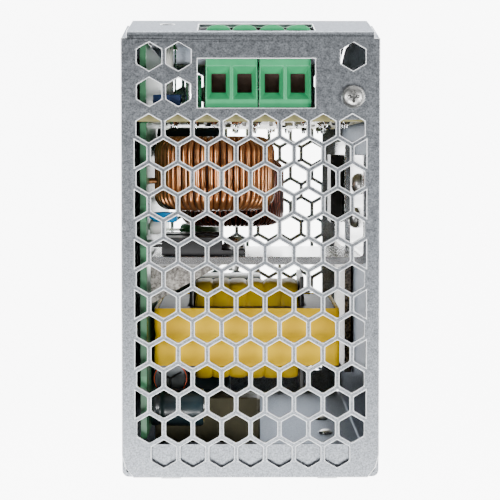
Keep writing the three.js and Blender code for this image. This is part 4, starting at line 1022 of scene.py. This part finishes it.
for number in (1, 2, 3):
    make_can(f"output_capacitor_{number}", "x", True)
make_can("output_capacitor_4", "z", False, VENT, RED_RIM)
make_can("bulk_capacitor_1", "x", True)
make_can("bulk_capacitor_2", "x", True)


def make_disc(node, material):
    """A dipped disc with a run of coating down each lead."""
    low, high = span(node)
    cy, cz = middle(node).y, middle(node).z
    half = (high.y - low.y) / 2
    radius = (high.z - low.z) / 2
    cx = low.x + radius
    profile = [(0, cy - half)]
    for step in range(1, 12):
        angle = math.pi * step / 12
        edge = radius * (1 - 0.16 * (1 - math.sin(angle)) ** 0.8)
        profile.append((edge, cy - half * math.cos(angle)))
    profile.append((0, cy + half))
    bm = bmesh.new()
    lathe(bm, "y", profile, (cx, 0, cz), 40)
    for side in (1, -1):
        z = cz + side * radius * 0.55
        start = cx + radius * 0.62
        run = min(2.6, high.x - start - 0.1)
        coat = [(0, 0), (0.95, 0), (0.7, 0.46), (0.42, 0.85), (0.3, 1), (0, 1)]
        lathe(bm, "x", [(size, start + run * share) for size, share in coat], (0, cy, z), 14)
        tube(bm, [(start, cy, z), (high.x, cy, z)], 0.28, 8, material=1)
    stand_in(new_object(node + "_shape", bm, [material, TIN], 50), node)


make_disc("disc_capacitor", MATERIALS["blue_lacquer"])
make_disc("inrush_thermistor", MATERIALS["thermistor_coating"])


def make_small_parts():
    """A pale bead on the main board and a small can on the front board."""
    board = span("main_board")[0].x
    bm = bmesh.new()
    bead = [
        (0, board - 3.6), (1.2, board - 3.5), (1.9, board - 2.6), (2.0, board - 1.5),
        (1.8, board - 0.5), (0.6, board), (0, board),
    ]
    lathe(bm, "x", bead, (0, -66.5, 50.0), 24)
    extra(new_object("board_bead", bm, PALE, 60))
    foot = span("front_board")[0].y
    tip = foot - 10.0
    profile = rounded([
        (0, foot - 0.05), (1.7, foot - 0.05), (2.0, foot - 0.6), (1.75, foot - 1.3),
        (2.0, foot - 2.0), (2.0, tip + 0.3), (1.7, tip), (0, tip),
    ], 0.2, 3)
    bm = bmesh.new()
    lathe(bm, "y", profile, (14.0, 0, 56.0), 36)
    extra(new_object("front_board_can", bm, TIN, 50))


make_small_parts()


# ---------------------------------------------------------------------------------------------
# Heat sinks, packages and their screws
# ---------------------------------------------------------------------------------------------

EDGE_WIDTHS = {
    "output_heatsink": 0.2,
    "input_heatsink": 0.25,
    "transistor_1": 0.25,
    "transistor_2": 0.25,
    "bridge_rectifier": 0.4,
    "box_capacitor": 0.7,
}
for node, width in EDGE_WIDTHS.items():
    dress(node, width, 3)


def cross_arm(axis, turn, place, crown, way):
    """One arm of a drive recess, a block laid across the crown."""
    a = math.radians(turn)
    along = Vector((math.cos(a), math.sin(a))) * 1.7
    across = Vector((-math.sin(a), math.cos(a))) * 0.38
    bm = bmesh.new()
    rings = [
        [
            bm.verts.new(AXES[axis] @ Vector((*corner, level)) + place)
            for corner in (along + across, -along + across, -along - across, along - across)
        ]
        for level in (crown + way * 1.3, crown - way * 0.5)
    ]
    lower, upper = rings
    bm.faces.new(lower)
    bm.faces.new(upper)
    for step in range(4):
        after = (step + 1) % 4
        bm.faces.new((lower[step], lower[after], upper[after], upper[step]))
    return new_object("cutter", bm, MATERIALS["zinc_screw"])


def make_round_screw(node, axis, way):
    """A round-head screw; `way` is the direction from its crown to its tip."""
    low, high = span(node)
    index = "xyz".index(axis)
    crown, tip = (low[index], high[index]) if way > 0 else (high[index], low[index])
    place = middle(node).copy()
    place[index] = 0
    head = [(0, 0), (0.9, 0.03), (1.7, 0.25), (2.35, 0.75), (2.7, 1.4), (2.76, 2.1), (2.7, 2.19), (1.48, 2.2)]
    length = abs(tip - crown)
    shank = [(1.48, length - 0.5), (1.2, length - 0.02), (0, length)]
    bm = bmesh.new()
    lathe(bm, axis, [(radius, crown + way * depth) for radius, depth in head + shank], place, 40)
    screw = new_object(node + "_shape", bm, MATERIALS["zinc_screw"], 50)
    for turn in (0, 90):
        subtract(screw, cross_arm(axis, turn, place, crown, way))
    soften(screw, 0.06, 1)
    stand_in(screw, node)


make_round_screw("heatsink_screw_1", "x", -1)
make_round_screw("heatsink_screw_2", "x", -1)
make_round_screw("transistor_screw_1", "y", 1)
make_round_screw("transistor_screw_2", "y", 1)


for node in NODES:
    if not NODES[node].modifiers and NODES[node].visible_get():
        dress(node, 0.1)
